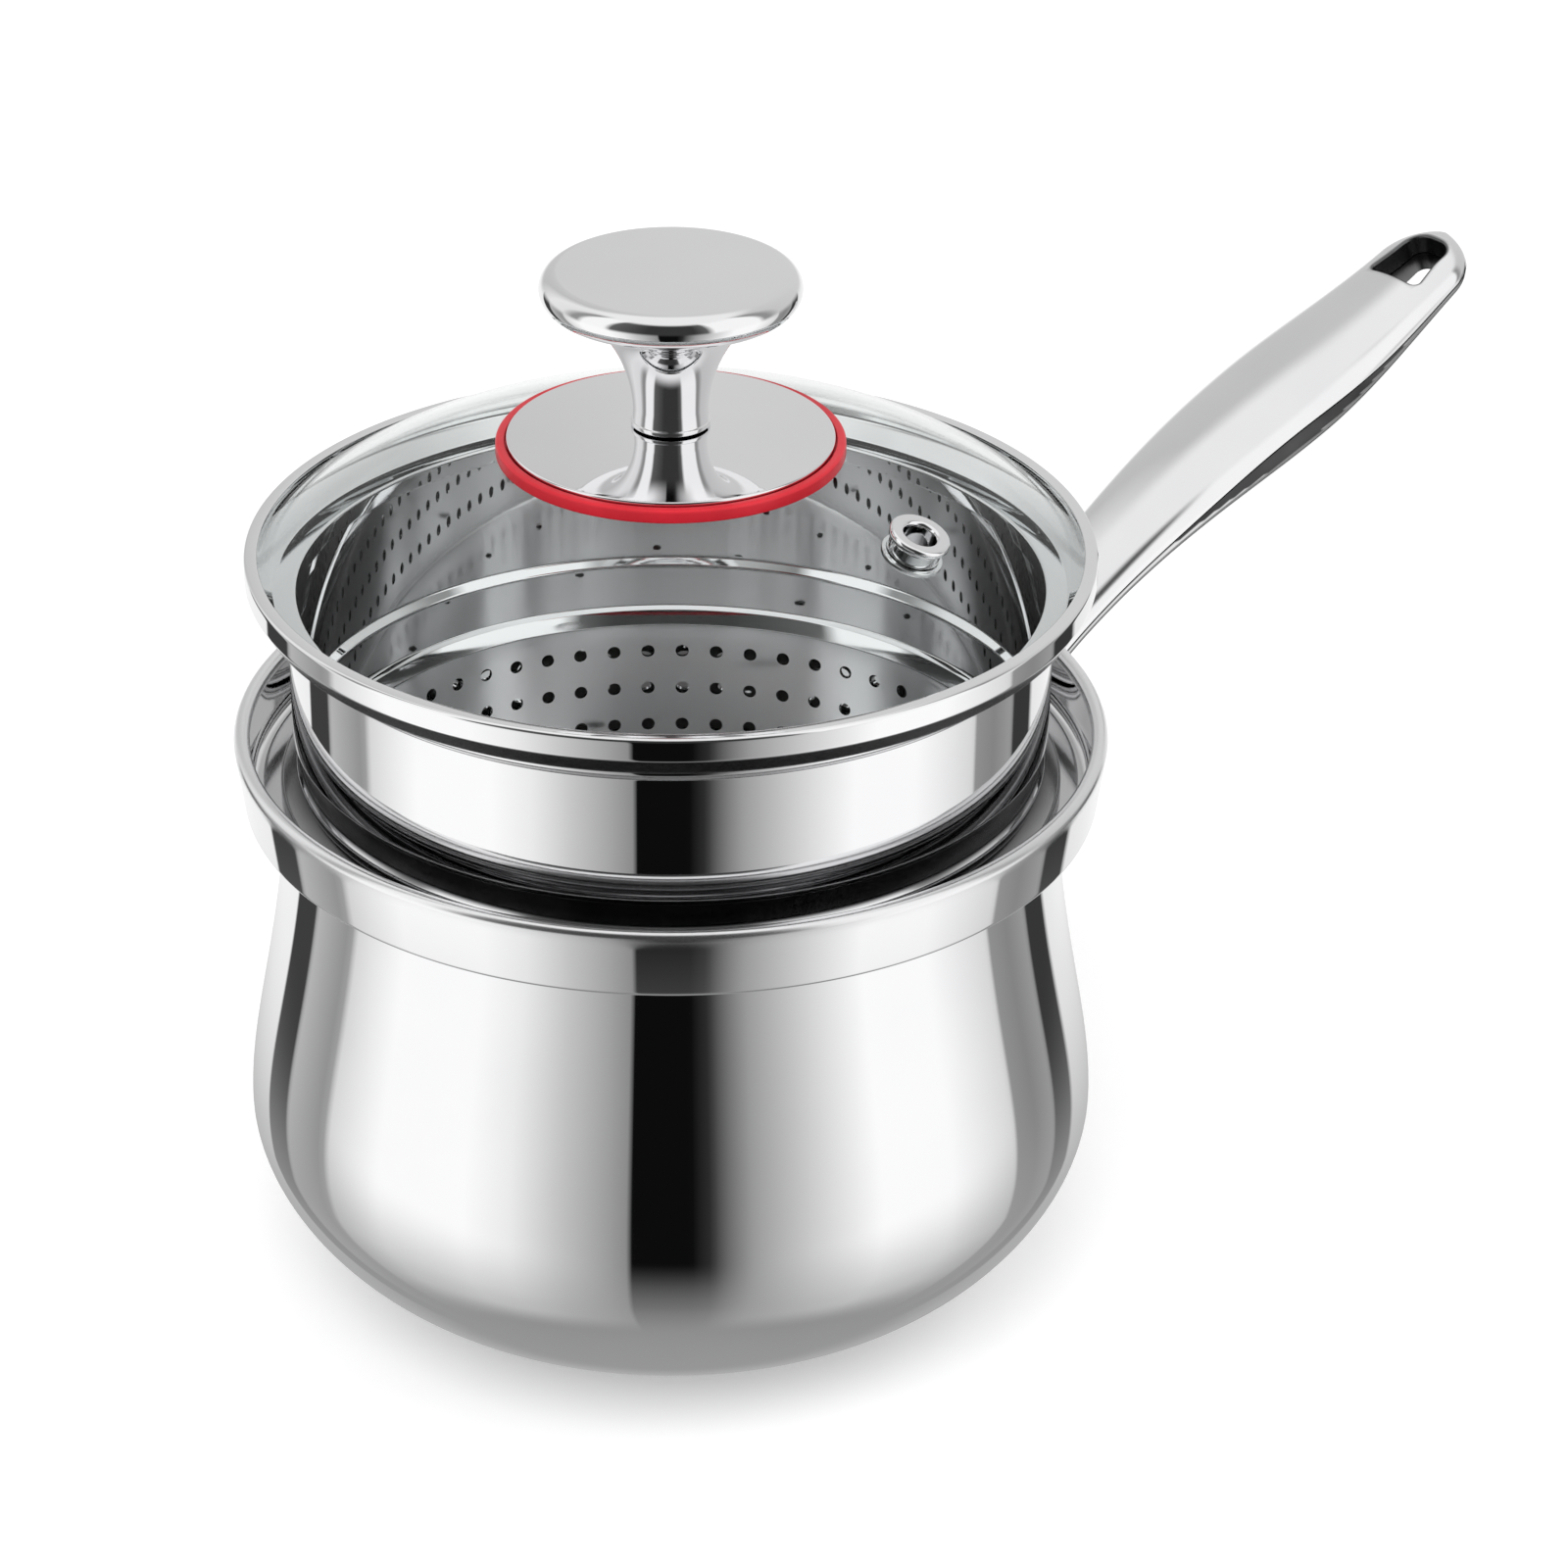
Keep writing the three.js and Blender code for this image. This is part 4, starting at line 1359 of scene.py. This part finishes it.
    def tile(self, name: str, border: list[Point], place: Callable[[float, float, bool], Vector]) -> Piece:
        """Make one tile of sheet with a round hole.

        Args:
            name: The tile's name.
            border: Points round the tile, about the hole's centre.
            place: Gives a point of either skin from its place on the tile.

        Returns:
            The tile.
        """
        circles = (self.hole_margin, 1.0 + self.hole_lip / self.hole_radius)
        skin = [border]
        for grow in circles:
            scales = [grow * self.hole_radius / math.hypot(a, b) for a, b in border]
            skin.append([(a * scale, b * scale) for (a, b), scale in zip(border, scales)])
        rings = [(ring, False) for ring in skin] + [(ring, True) for ring in reversed(skin)]
        work = bmesh.new()
        bridge(work, [[work.verts.new(place(a, b, inner) * MM) for a, b in ring] for ring, inner in rings])
        return placed(name, work)

    def wall_tile(self) -> Piece:
        """Make one tile of the first row round the cup.

        Returns:
            The tile.
        """
        half, tall = math.pi / self.holes_per_row * self.cup, self.tile_half
        side = [2 * i / self.tile_steps - 1 for i in range(self.tile_steps)]
        border = [(half * t, -tall) for t in side] + [(half, tall * t) for t in side]
        border += [(-a, -b) for a, b in border]

        def place(a: float, b: float, inner_skin: bool) -> Vector:
            """Return a point of the cup's wall."""
            radius, angle = self.cup - self.sheet if inner_skin else self.cup, a / self.cup
            return Vector((radius * math.cos(angle), radius * math.sin(angle), self.first_row + b))

        return self.tile("wall_tile", border, place)

    def drain_tile(self, ring: int) -> Piece:
        """Make one tile of a ring of drain holes in the cup's bottom.

        Args:
            ring: Number of the ring, from 1.

        Returns:
            The tile.
        """
        count = ring * self.drains_per_ring
        arc_steps = self.steps // count
        centre = ring * self.drain_pitch
        low, high = centre - self.drain_pitch / 2, centre + self.drain_pitch / 2
        angles = [math.pi / count * (2 * i / arc_steps - 1) for i in range(arc_steps + 1)]
        sides = [i / self.tile_steps for i in range(1, self.tile_steps)]
        polar = [(high, a) for a in angles] + [(high + (low - high) * t, angles[-1]) for t in sides]
        polar += [(low, a) for a in reversed(angles)] + [(low + (high - low) * t, angles[0]) for t in sides]
        border = [(r * math.cos(a) - centre, r * math.sin(a)) for r, a in polar]

        def place(a: float, b: float, inner_skin: bool) -> Vector:
            """Return a point of the cup's bottom."""
            return Vector((centre + a, b, self.cup_bottom + (self.sheet if inner_skin else 0)))

        return self.tile(f"drain_tile_{ring}", border, place)

    def basket(self) -> Piece:
        """Make the insert: a turned sheet with punched tiles let in.

        Returns:
            The insert.
        """
        work = bmesh.new()
        for run in (self.upper_run(), *self.floor_runs(), *self.wall_strips()):
            turn(work, run, self.steps)
        sheet = placed("steamer_punched_basket", work)
        rows = PunchedRows()
        tiles = [self.wall_tile()]
        rows.apply(sheet, tiles[0], self.holes_per_row, self.hole_rows, self.row_pitch * MM)
        for ring in range(1, self.drain_rings + 1):
            tiles.append(self.drain_tile(ring))
            rows.apply(sheet, tiles[-1], ring * self.drains_per_ring, 1, 0.0)
        baked(sheet)
        for tile in tiles:
            bpy.data.objects.remove(tile)
        return sheet

    def in_groove(self, point: Vector) -> float:
        """Tell how dark a point is.

        Args:
            point: A point of the insert.

        Returns:
            1, full painted shade, in the groove round the outside, the flange's painted shade on the flange and
            0 elsewhere.
        """
        radius = point.xy.length
        edge = self.groove + self.groove_edge
        groove_top = self.top - self.groove_drop - self.groove_fade * self.groove_depth
        if radius < self.groove - NEAR or point.z < self.seat + 0.5 * self.flange_thickness:
            return 0.0
        if radius > edge and point.z < self.seat + self.flange_thickness + self.stop_bead:
            return self.flange_shade
        return 1.0 if radius < edge and point.z < groove_top else 0.0

    def on_floor(self, point: Vector) -> float:
        """Return how dull a point is: 1 on the cup's floor, less inside its wall and 0 elsewhere."""
        inside = point.z < self.seat and point.xy.length < self.cup - 0.5 * self.sheet
        return 1.0 if point.z < self.cup_bottom + 2 * self.sheet else self.cup_dullness * inside

    def build(self) -> None:
        """Make and dress the insert."""
        basket = self.basket()
        # Shade is painted into the groove and on the flange
        marked(basket, Mark.RECESS, self.in_groove)
        marked(basket, Mark.DULL, self.on_floor)
        dress(basket, "steamer_basket", Body.STEAMER, MIRROR_STEEL)


@dataclass
class Lid:
    """The glass dome, its band and its steam vent, in millimetres and degrees."""

    steamer: Steamer
    clearance: float = 0.4
    band_sheet: float = 0.8
    band_rise: float = 5.2
    band_edge: float = 0.75
    lip_reach: float = 2.8
    lip_edge: float = 0.25
    hem_inset: float = 2.6
    hem_rise: float = 1.1
    hem_round: float = 2.2
    hem_margin: float = 0.15
    seat_overhang: float = 0.8
    seat_fillet: float = 0.6
    seat_margin: float = 0.2
    skirt_clearance: float = 0.7
    skirt_depth: float = 3.2
    glass_inset: float = 2.2
    glass_thickness: float = 3.5
    glass_spans: int = 56
    crown_height: float = 24.1
    crown_power: float = 2.8
    bore: float = 4.0
    vent_inset: float = 28.0
    vent_azimuth: float = -72.0
    vent_bore: float = 3.4
    vent_barrel: float = 5.2
    vent_flange: float = 6.4
    vent_flange_thickness: float = 1.6
    vent_flange_edge: float = 0.9
    vent_ring_thickness: float = 1.2
    vent_sag: float = 0.25

    def __post_init__(self) -> None:
        """Work out the band's seat and cone, the glass's radius and the vent's slope, depth and own frame."""
        pot = self.steamer.pot
        self.seat: float = self.steamer.top + GAP
        self.radius: float = pot.rim_radius - 2 * pot.rim_roll - self.clearance
        self.seat_radius: float = self.steamer.wall + self.steamer.roll_reach + self.seat_overhang
        self.slope: float = self.band_rise / (self.radius - self.seat_radius)
        self.glass_radius: float = self.radius - self.glass_inset
        reach = self.glass_radius - self.vent_inset
        steepness = self.crown_power * self.crown_height / self.glass_radius
        tilt = math.atan(steepness * (reach / self.glass_radius) ** (self.crown_power - 1))
        self.vent_depth: float = self.glass_thickness * math.cos(tilt) + self.vent_sag + GAP
        spin = Matrix.Rotation(math.radians(self.vent_azimuth), 4, "Z")
        shift = Matrix.Translation(Vector((reach, 0, self.glass_top(reach))) * MM)
        self.vent_place: Matrix = spin @ shift @ Matrix.Rotation(tilt, 4, "Y")

    def cone(self, radius: float) -> float:
        """Return the height of the line that the band's cone rises along."""
        return self.seat + (radius - self.seat_radius) * self.slope

    def band_inside(self, radius: float) -> float:
        """Return the height of the cone's inner face at a radius."""
        return self.cone(radius) + self.band_sheet * math.hypot(1, self.slope)

    def glass_top(self, radius: float) -> float:
        """Return the height of the glass's outer face at a radius."""
        edge = self.band_inside(self.glass_radius) + GAP + self.glass_thickness
        return edge + self.crown_height * (1 - (radius / self.glass_radius) ** self.crown_power)

    def band(self) -> Piece:
        """Make the steel band.

        Returns:
            The band.
        """
        sheet, seat = self.band_sheet, self.seat
        skirt, skirt_low = self.steamer.bore - self.skirt_clearance, seat - self.skirt_depth
        inner, lip = self.radius - sheet, self.radius - self.lip_reach
        lip_low = self.glass_top(lip) + GAP
        corners = [
            (lip, lip_low, self.lip_edge), (inner, lip_low, FINE), (inner, self.band_inside(inner), EASED),
            (self.seat_radius, self.band_inside(self.seat_radius), self.seat_fillet),
            (skirt - sheet, seat + sheet, SOFT), (skirt - sheet, skirt_low, EASED), (skirt, skirt_low, EASED),
            (skirt, seat, EASED), (self.seat_radius, seat, self.seat_fillet),
            (self.radius - self.hem_inset, seat + self.hem_rise, self.hem_round),
            (self.radius, seat + self.band_rise, ROUND), (self.radius, lip_low + sheet, self.band_edge),
            (lip, lip_low + sheet, self.lip_edge),
        ]
        return turned("lid_steel_band", corners, TURN_STEPS, ring=True)

    def glass(self) -> Piece:
        """Make the glass dome with the vent's hole.

        Returns:
            The dome.
        """
        width, count = self.glass_radius - self.bore, self.glass_spans
        radii = [self.bore + width * i / count for i in range(count + 1)]
        outside = [(r, self.glass_top(r)) for r in radii]
        inside = [(r, z - self.glass_thickness) for r, z in outside]
        profile = sharp(inside[:-1]) + [(*inside[-1], SOFT), (*outside[-1], FULL)] + sharp(outside[-2::-1])
        dome = turned("lid_glass_dome", profile, TURN_STEPS, ring=True)
        size, depth = self.vent_barrel + GAP, 3 * self.glass_thickness
        work = bmesh.new()
        turn(work, [(0, -depth), (size, -depth), (size, depth), (0, depth)], BORE_STEPS)
        work.transform(self.vent_place)
        drill = made("vent_drill", work)
        cut(dome, drill)
        bpy.data.objects.remove(drill)
        return dome

    def eyelet(self) -> Piece:
        """Make the vent's eyelet.

        Returns:
            The eyelet.
        """
        low, foot = self.vent_sag + GAP, -self.vent_depth - self.vent_ring_thickness
        top = low + self.vent_flange_thickness
        corners = [
            (self.vent_bore, foot, EASED), (self.vent_barrel, foot, EASED), (self.vent_barrel, low, CRISP),
            (self.vent_flange, low, EASED), (self.vent_flange, top, self.vent_flange_edge),
            (self.vent_bore, top, ROUND),
        ]
        return turned("vent_steel_eyelet", corners, BORE_STEPS, ring=True, place=self.vent_place)

    def vent_ring(self) -> Piece:
        """Make the ring under the glass.

        Returns:
            The ring.
        """
        bore, outer, top = self.vent_barrel + GAP, self.vent_flange, -self.vent_depth
        low = top - self.vent_ring_thickness
        corners = [(bore, low, FINE), (outer, low, SOFT), (outer, top, FINE), (bore, top, CRISP)]
        return turned("vent_under_ring", corners, BORE_STEPS, ring=True, place=self.vent_place)

    def under_cone(self, point: Vector) -> float:
        """Return 1, full painted shade, on the band's underside out to its hem, and 0 elsewhere."""
        over = self.seat_radius - self.seat_margin < point.xy.length < self.radius - self.hem_margin
        return 1.0 if over and point.z < self.cone(point.xy.length) + self.hem_margin else 0.0

    def build(self) -> None:
        """Make and dress the lid's pieces."""
        band = self.band()
        # Shade is painted on the band's underside
        marked(band, Mark.RECESS, self.under_cone)
        dress(band, "lid_band", Body.LID, MIRROR_STEEL)
        dress(self.glass(), "lid_glass", Body.LID, LID_GLASS)
        dress(self.eyelet(), "vent_eyelet", Body.LID, MIRROR_STEEL)
        dress(self.vent_ring(), "vent_ring", Body.LID, MIRROR_STEEL)


@dataclass
class Knob:
    """The knob, its plate, ring, washer and screw, in millimetres."""

    lid: Lid
    plate_radius: float = 33.7
    plate_thickness: float = 1.5
    plate_crown: float = 2.4
    plate_spans: int = 24
    ring_reach: float = 1.9
    ring_lap: float = 5.0
    ring_lip: float = 0.8
    grip_height: float = 33.1
    grip_radius: float = 26.7
    grip_edge: float = 3.7
    grip_spans: int = 48
    stem_radius: float = 7.7
    stem_foot: float = 0.5
    stem_foot_height: float = 0.9
    stem_foot_edge: float = 0.35
    stem_step: float = 0.1
    stem_length: float = 3.4
    stem_pull: Point = (0.6, 11.5)
    grip_pull: Point = (7.5, 0.8)
    screw_radius: float = 2.5
    screw_grip: float = 8.0
    screw_head_radius: float = 5.0
    screw_head_height: float = 2.4
    screw_head_edge: float = 1.3
    washer_radius: float = 9.0
    washer_thickness: float = 1.4

    def __post_init__(self) -> None:
        """Work out the heights of the plate and the washer and the radius of the screw's clearance holes."""
        self.plate_bottom: float = self.lid.glass_top(0) + GAP
        self.plate_edge: float = self.plate_bottom + self.plate_thickness
        self.plate_top: float = self.plate_edge + self.plate_crown
        self.washer_top: float = self.lid.glass_top(0) - self.lid.glass_thickness - GAP
        self.washer_bottom: float = self.washer_top - self.washer_thickness
        self.screw_bore: float = self.screw_radius + GAP

    def ring(self) -> Piece:
        """Make the silicone ring.

        Returns:
            The ring.
        """
        inner, seat = self.plate_radius - self.ring_lap, self.plate_radius + GAP
        outer, floor = seat + self.ring_reach, self.plate_bottom - GAP
        top = floor + GAP + self.ring_lip
        corners = [
            (inner, self.lid.glass_top(inner) + GAP, CRISP),
            (outer, self.lid.glass_top(outer) + GAP, EASED), (outer, top, FULL), (seat, top, EASED),
            (seat, floor, CRISP), (inner, floor, CRISP),
        ]
        return turned("knob_silicone_ring", corners, TURN_STEPS, ring=True)

    def plate(self) -> Piece:
        """Make the domed steel plate.

        Returns:
            The plate.
        """
        bore, radius = self.screw_bore, self.plate_radius
        shares = [1 - i / self.plate_spans for i in range(1, self.plate_spans)]
        crown = [(radius * s, self.plate_edge + self.plate_crown * (1 - s * s)) for s in shares]
        corners = [
            (bore, self.plate_bottom, CRISP), (radius, self.plate_bottom, MILD),
            (radius, self.plate_edge, SOFT), *sharp([p for p in crown if p[0] > bore + ROUND]),
            (bore, self.plate_top, CRISP),
        ]
        return turned("knob_mirror_plate", corners, TURN_STEPS, ring=True)

    def grip(self) -> Piece:
        """Make the turned grip.

        Returns:
            The grip.
        """
        low = self.plate_top + GAP
        top, hole = low + self.grip_height, low + self.screw_grip + GAP
        stem, waist, step = self.stem_radius, low + self.stem_length, low + self.stem_foot_height
        foot = stem + self.stem_foot
        edge, middle = self.grip_radius - self.grip_edge, top - self.grip_edge
        under = middle - self.grip_edge
        flare = bezier(
            (stem, waist), (stem + self.stem_pull[0], waist + self.stem_pull[1]),
            (edge - self.grip_pull[0], under - self.grip_pull[1]), (edge, under), self.grip_spans,
        )
        corners = [
            (0, hole, 0), (self.screw_bore, hole, CRISP), (self.screw_bore, low, FINE), (foot, low, FINE),
            (foot, step, self.stem_foot_edge), (stem + self.stem_step, step + self.stem_step, FINE),
            *sharp([tuple(p) for p, _ in flare]),
            *sharp(arc((edge, middle), self.grip_edge, range(-82, 91, 8))), (0, top, 0),
        ]
        return turned("knob_turned_grip", corners, KNOB_STEPS)

    def washer(self) -> Piece:
        """Make the washer under the glass.

        Returns:
            The washer.
        """
        bore, outer, low, top = self.screw_bore, self.washer_radius, self.washer_bottom, self.washer_top
        corners = [(bore, low, FINE), (outer, low, MILD), (outer, top, FINE), (bore, top, CRISP)]
        return turned("knob_under_washer", corners, BORE_STEPS, ring=True)

    def screw(self) -> Piece:
        """Make the screw with its plain head and shank.

        Returns:
            The screw.
        """
        head, shank, head_top = self.screw_head_radius, self.screw_radius, self.washer_bottom - GAP
        head_low, tip = head_top - self.screw_head_height, self.plate_top + GAP + self.screw_grip
        corners = [
            (0, head_low, 0), (head, head_low, self.screw_head_edge), (head, head_top, FINE),
            (shank, head_top, FINE), (shank, tip, SOFT), (0, tip, 0),
        ]
        return turned("knob_screw_head", corners, BORE_STEPS)

    def build(self) -> None:
        """Make and dress the knob's pieces."""
        dress(self.ring(), "knob_ring", Body.LID, RED_SILICONE)
        dress(self.plate(), "knob_plate", Body.LID, MIRROR_STEEL)
        dress(self.grip(), "knob_grip", Body.LID, MIRROR_STEEL)
        dress(self.washer(), "knob_washer", Body.LID, DARK_SILICONE)
        dress(self.screw(), "knob_screw", Body.LID, SATIN_STEEL)


# Studio


@dataclass
class Studio:
    """The floor, the lamps, the panels that the steel mirrors, and the camera, in metres and degrees.

    The panels and the backdrop are greys round the horizon, each at an angle from the camera.
    """

    camera_at: tuple[float, float, float] = (-0.5528, -0.6588, 0.5744)
    camera_azimuth: float = -40.0
    camera_pitch: float = 28.39
    camera_range: float = 100.0
    lens: float = 105.53
    sensor: float = 36.0
    shift: float = 0.0722
    ambient: float = 0.72
    floor_size: float = 30.0
    floor_white: float = 0.85
    floor_roughness: float = 0.9
    floor_lift: float = 0.28
    # Grey of the shade painted on the floor round the pot, seen only in reflections
    floor_shade_grey: float = 0.36
    floor_shade: Point = (0.07, 0.24)
    floor_cover: Point = (0.9, 0.0)
    panels: tuple[Point, ...] = (
        (-180, 1.0), (-139, 0.92), (-138, 0.05), (-124.5, 0.05), (-123.5, 0.5), (-107, 0.31), (-103.5, 0.37),
        (-102, 0.72), (-82, 1.05), (-55, 1.05), (-42, 0.9), (-29, 0.6), (-10.5, 0.27), (-10.1, 0.004),
        (5.5, 0.004), (10.5, 0.03), (21.5, 0.36), (32, 0.56), (56, 1.05), (78, 1.05), (102.5, 0.73),
        (104, 0.3), (113, 0.25), (123.5, 0.34), (125, 0.04), (137, 0.04), (138.5, 0.85), (160, 0.95),
    )
    backdrop: tuple[Point, ...] = (
        (-180, 0.66), (-172, 0.6), (-150, 0.55), (-125, 0.85), (-104, 0.8), (-92, 0.3), (-86, 0.3),
        (-80, 1.0), (-58, 1.0), (-52, 0.12), (-20, 0.04), (20, 0.04), (31, 0.12), (38, 1.0), (80, 1.0),
        (86, 0.3), (92, 0.3), (104, 0.6), (150, 0.66),
    )
    under_span: Point = (-46.0, -66.0)
    under_tone: float = 0.06
    backdrop_span: Point = (-12.0, 6.0)
    roof_span: Point = (50.0, 66.0)
    roof_tone: float = 0.9
    lamp_aim: tuple[float, float, float] = (0.0, 0.0, 0.1)

    def camera(self) -> None:
        """Place the camera at the photograph's viewing angle."""
        data = bpy.data.cameras.new("camera")
        data.lens, data.sensor_width, data.sensor_fit = self.lens, self.sensor, "HORIZONTAL"
        data.shift_x, data.clip_end = self.shift, self.camera_range
        view = bpy.data.objects.new("camera", data)
        view.location = self.camera_at
        view.rotation_euler = (math.radians(90 - self.camera_pitch), 0, math.radians(self.camera_azimuth))
        bpy.context.scene.collection.objects.link(view)
        bpy.context.scene.camera = view

    def floor(self) -> None:
        """Lay a plain white floor that keeps the shadow."""
        work = bmesh.new()
        bmesh.ops.create_grid(work, x_segments=1, y_segments=1, size=self.floor_size / 2)
        plane = placed("floor", work)
        plane.data.materials.append(self.floor_finish())

    def floor_finish(self) -> bpy.types.Material:
        """Build the floor's material: white to the eye, and in the steel's reflections a painted shade, a grey
        patch round the pot.

        Returns:
            The material.
        """
        material = bpy.data.materials.new("floor_white")
        material.use_nodes = True
        material.cycles.emission_sampling = "NONE"
        tree = material.node_tree
        path = tree.nodes.new("ShaderNodeLightPath").outputs
        seen = maths(tree, "MAXIMUM", path["Is Camera Ray"], path["Is Transmission Ray"])
        white = tree.nodes["Principled BSDF"]
        feed(tree, white, {
            "Base Color": grey(self.floor_white), "Roughness": self.floor_roughness,
            "Specular IOR Level": 0.0, "Emission Color": grey(1.0),
            "Emission Strength": maths(tree, "MULTIPLY", seen, self.floor_lift),
        })
        place = tree.nodes.new("ShaderNodeTexCoord").outputs["Object"]
        away = added(tree, "ShaderNodeVectorMath", {0: place}, operation="LENGTH").outputs["Value"]
        clear = tree.nodes.new("ShaderNodeBsdfTransparent")
        # Glossy rays see painted shade: grey near the pot, clear further out
        shade = added(tree, "ShaderNodeEmission", {"Color": grey(self.floor_shade_grey)})
        near = added(tree, "ShaderNodeMixShader", {
            0: mapped(tree, away, self.floor_shade, self.floor_cover), 1: clear.outputs[0],
            2: shade.outputs[0],
        })
        choice = added(tree, "ShaderNodeMixShader", {
            0: path["Is Glossy Ray"], 1: white.outputs[0], 2: near.outputs[0],
        })
        feed(tree, tree.nodes["Material Output"], {"Surface": choice.outputs[0]})
        return material

    def lamps(self) -> None:
        """Hang two soft lamps."""
        for name, at, size, power in (
            ("key", (-1.2, -0.6, 1.8), 1.6, 22.0),
            ("fill", (1.0, -1.2, 1.5), 1.4, 10.0),
        ):
            data = bpy.data.lights.new(name, "AREA")
            data.energy, data.size = power, size
            lamp = bpy.data.objects.new(name, data)
            lamp.location = at
            lamp.rotation_euler = (Vector(self.lamp_aim) - Vector(at)).to_track_quat("-Z", "Y").to_euler()
            lamp.visible_glossy = lamp.visible_transmission = False
            bpy.context.scene.collection.objects.link(lamp)

    def world(self) -> None:
        """Set a white world whose panels and backdrop show only in reflections."""
        world = bpy.data.worlds.new("studio")
        bpy.context.scene.world = world
        world.use_nodes = True
        tree = world.node_tree
        path = tree.nodes.new("ShaderNodeLightPath").outputs
        place = tree.nodes.new("ShaderNodeTexCoord").outputs["Generated"]
        x, y, z = added(tree, "ShaderNodeSeparateXYZ", {0: place}).outputs
        azimuth = maths(tree, "ARCTAN2", x, maths(tree, "MULTIPLY", y, -1.0))
        share = maths(tree, "DIVIDE", azimuth, 2 * math.pi)
        share = maths(tree, "FRACT", maths(tree, "ADD", share, 0.5 - self.camera_azimuth / 360))
        height = maths(tree, "MULTIPLY", maths(tree, "ARCSINE", z), 180 / math.pi)
        tone = self._ramp(tree, share, self.panels)
        for span, other in (
            (self.under_span, grey(self.under_tone)),
            (self.backdrop_span, self._ramp(tree, share, self.backdrop)),
            (self.roof_span, grey(self.roof_tone)),
        ):
            tone = mixed(tree, mapped(tree, height, span, UNIT), tone, other)
        clear = maths(tree, "SUBTRACT", 1.0, path["Is Diffuse Ray"])
        mirrored = maths(tree, "MULTIPLY", clear, maths(tree, "GREATER_THAN", path["Glossy Depth"], 0.5))
        through = maths(tree, "MAXIMUM", path["Is Glossy Ray"], path["Is Transmission Ray"])
        seen = maths(tree, "MAXIMUM", path["Is Camera Ray"], through)
        plain = mapped(tree, seen, UNIT, (self.ambient, 1.0))
        feed(tree, tree.nodes["Background"], {"Color": mixed(tree, mirrored, plain, tone)})

    @staticmethod
    def _ramp(tree: Tree, share: Socket, levels: Sequence[Point]) -> Socket:
        """Add a grey ramp round the horizon.

        Args:
            tree: The tree to add to.
            share: Share of a full turn, from straight behind the object.
            levels: Angles from the camera and the level at each.

        Returns:
            The ramp's colour.
        """
        ramp = added(tree, "ShaderNodeValToRGB", {0: share})
        stops = ramp.color_ramp.elements
        stops.remove(stops[1])
        for index, (angle, level) in enumerate(levels):
            place = (angle + 180) / 360
            stop = stops.new(place) if index else stops[0]
            stop.position, stop.color = place, grey(level)
        return ramp.outputs[0]

    def build(self) -> None:
        """Set up the studio."""
        bpy.context.scene.view_settings.view_transform = "Standard"
        self.camera()
        self.floor()
        self.lamps()
        self.world()


def main() -> None:
    """Build every sub-assembly and the studio."""
    logging.basicConfig(level=logging.INFO, format="%(name)s: %(message)s")
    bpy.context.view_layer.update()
    pot = Pot()
    steamer = Steamer(pot)
    lid = Lid(steamer)
    for part in (pot, Handle(pot), steamer, lid, Knob(lid), Studio()):
        part.build()


if __name__ == "__main__":
    main()
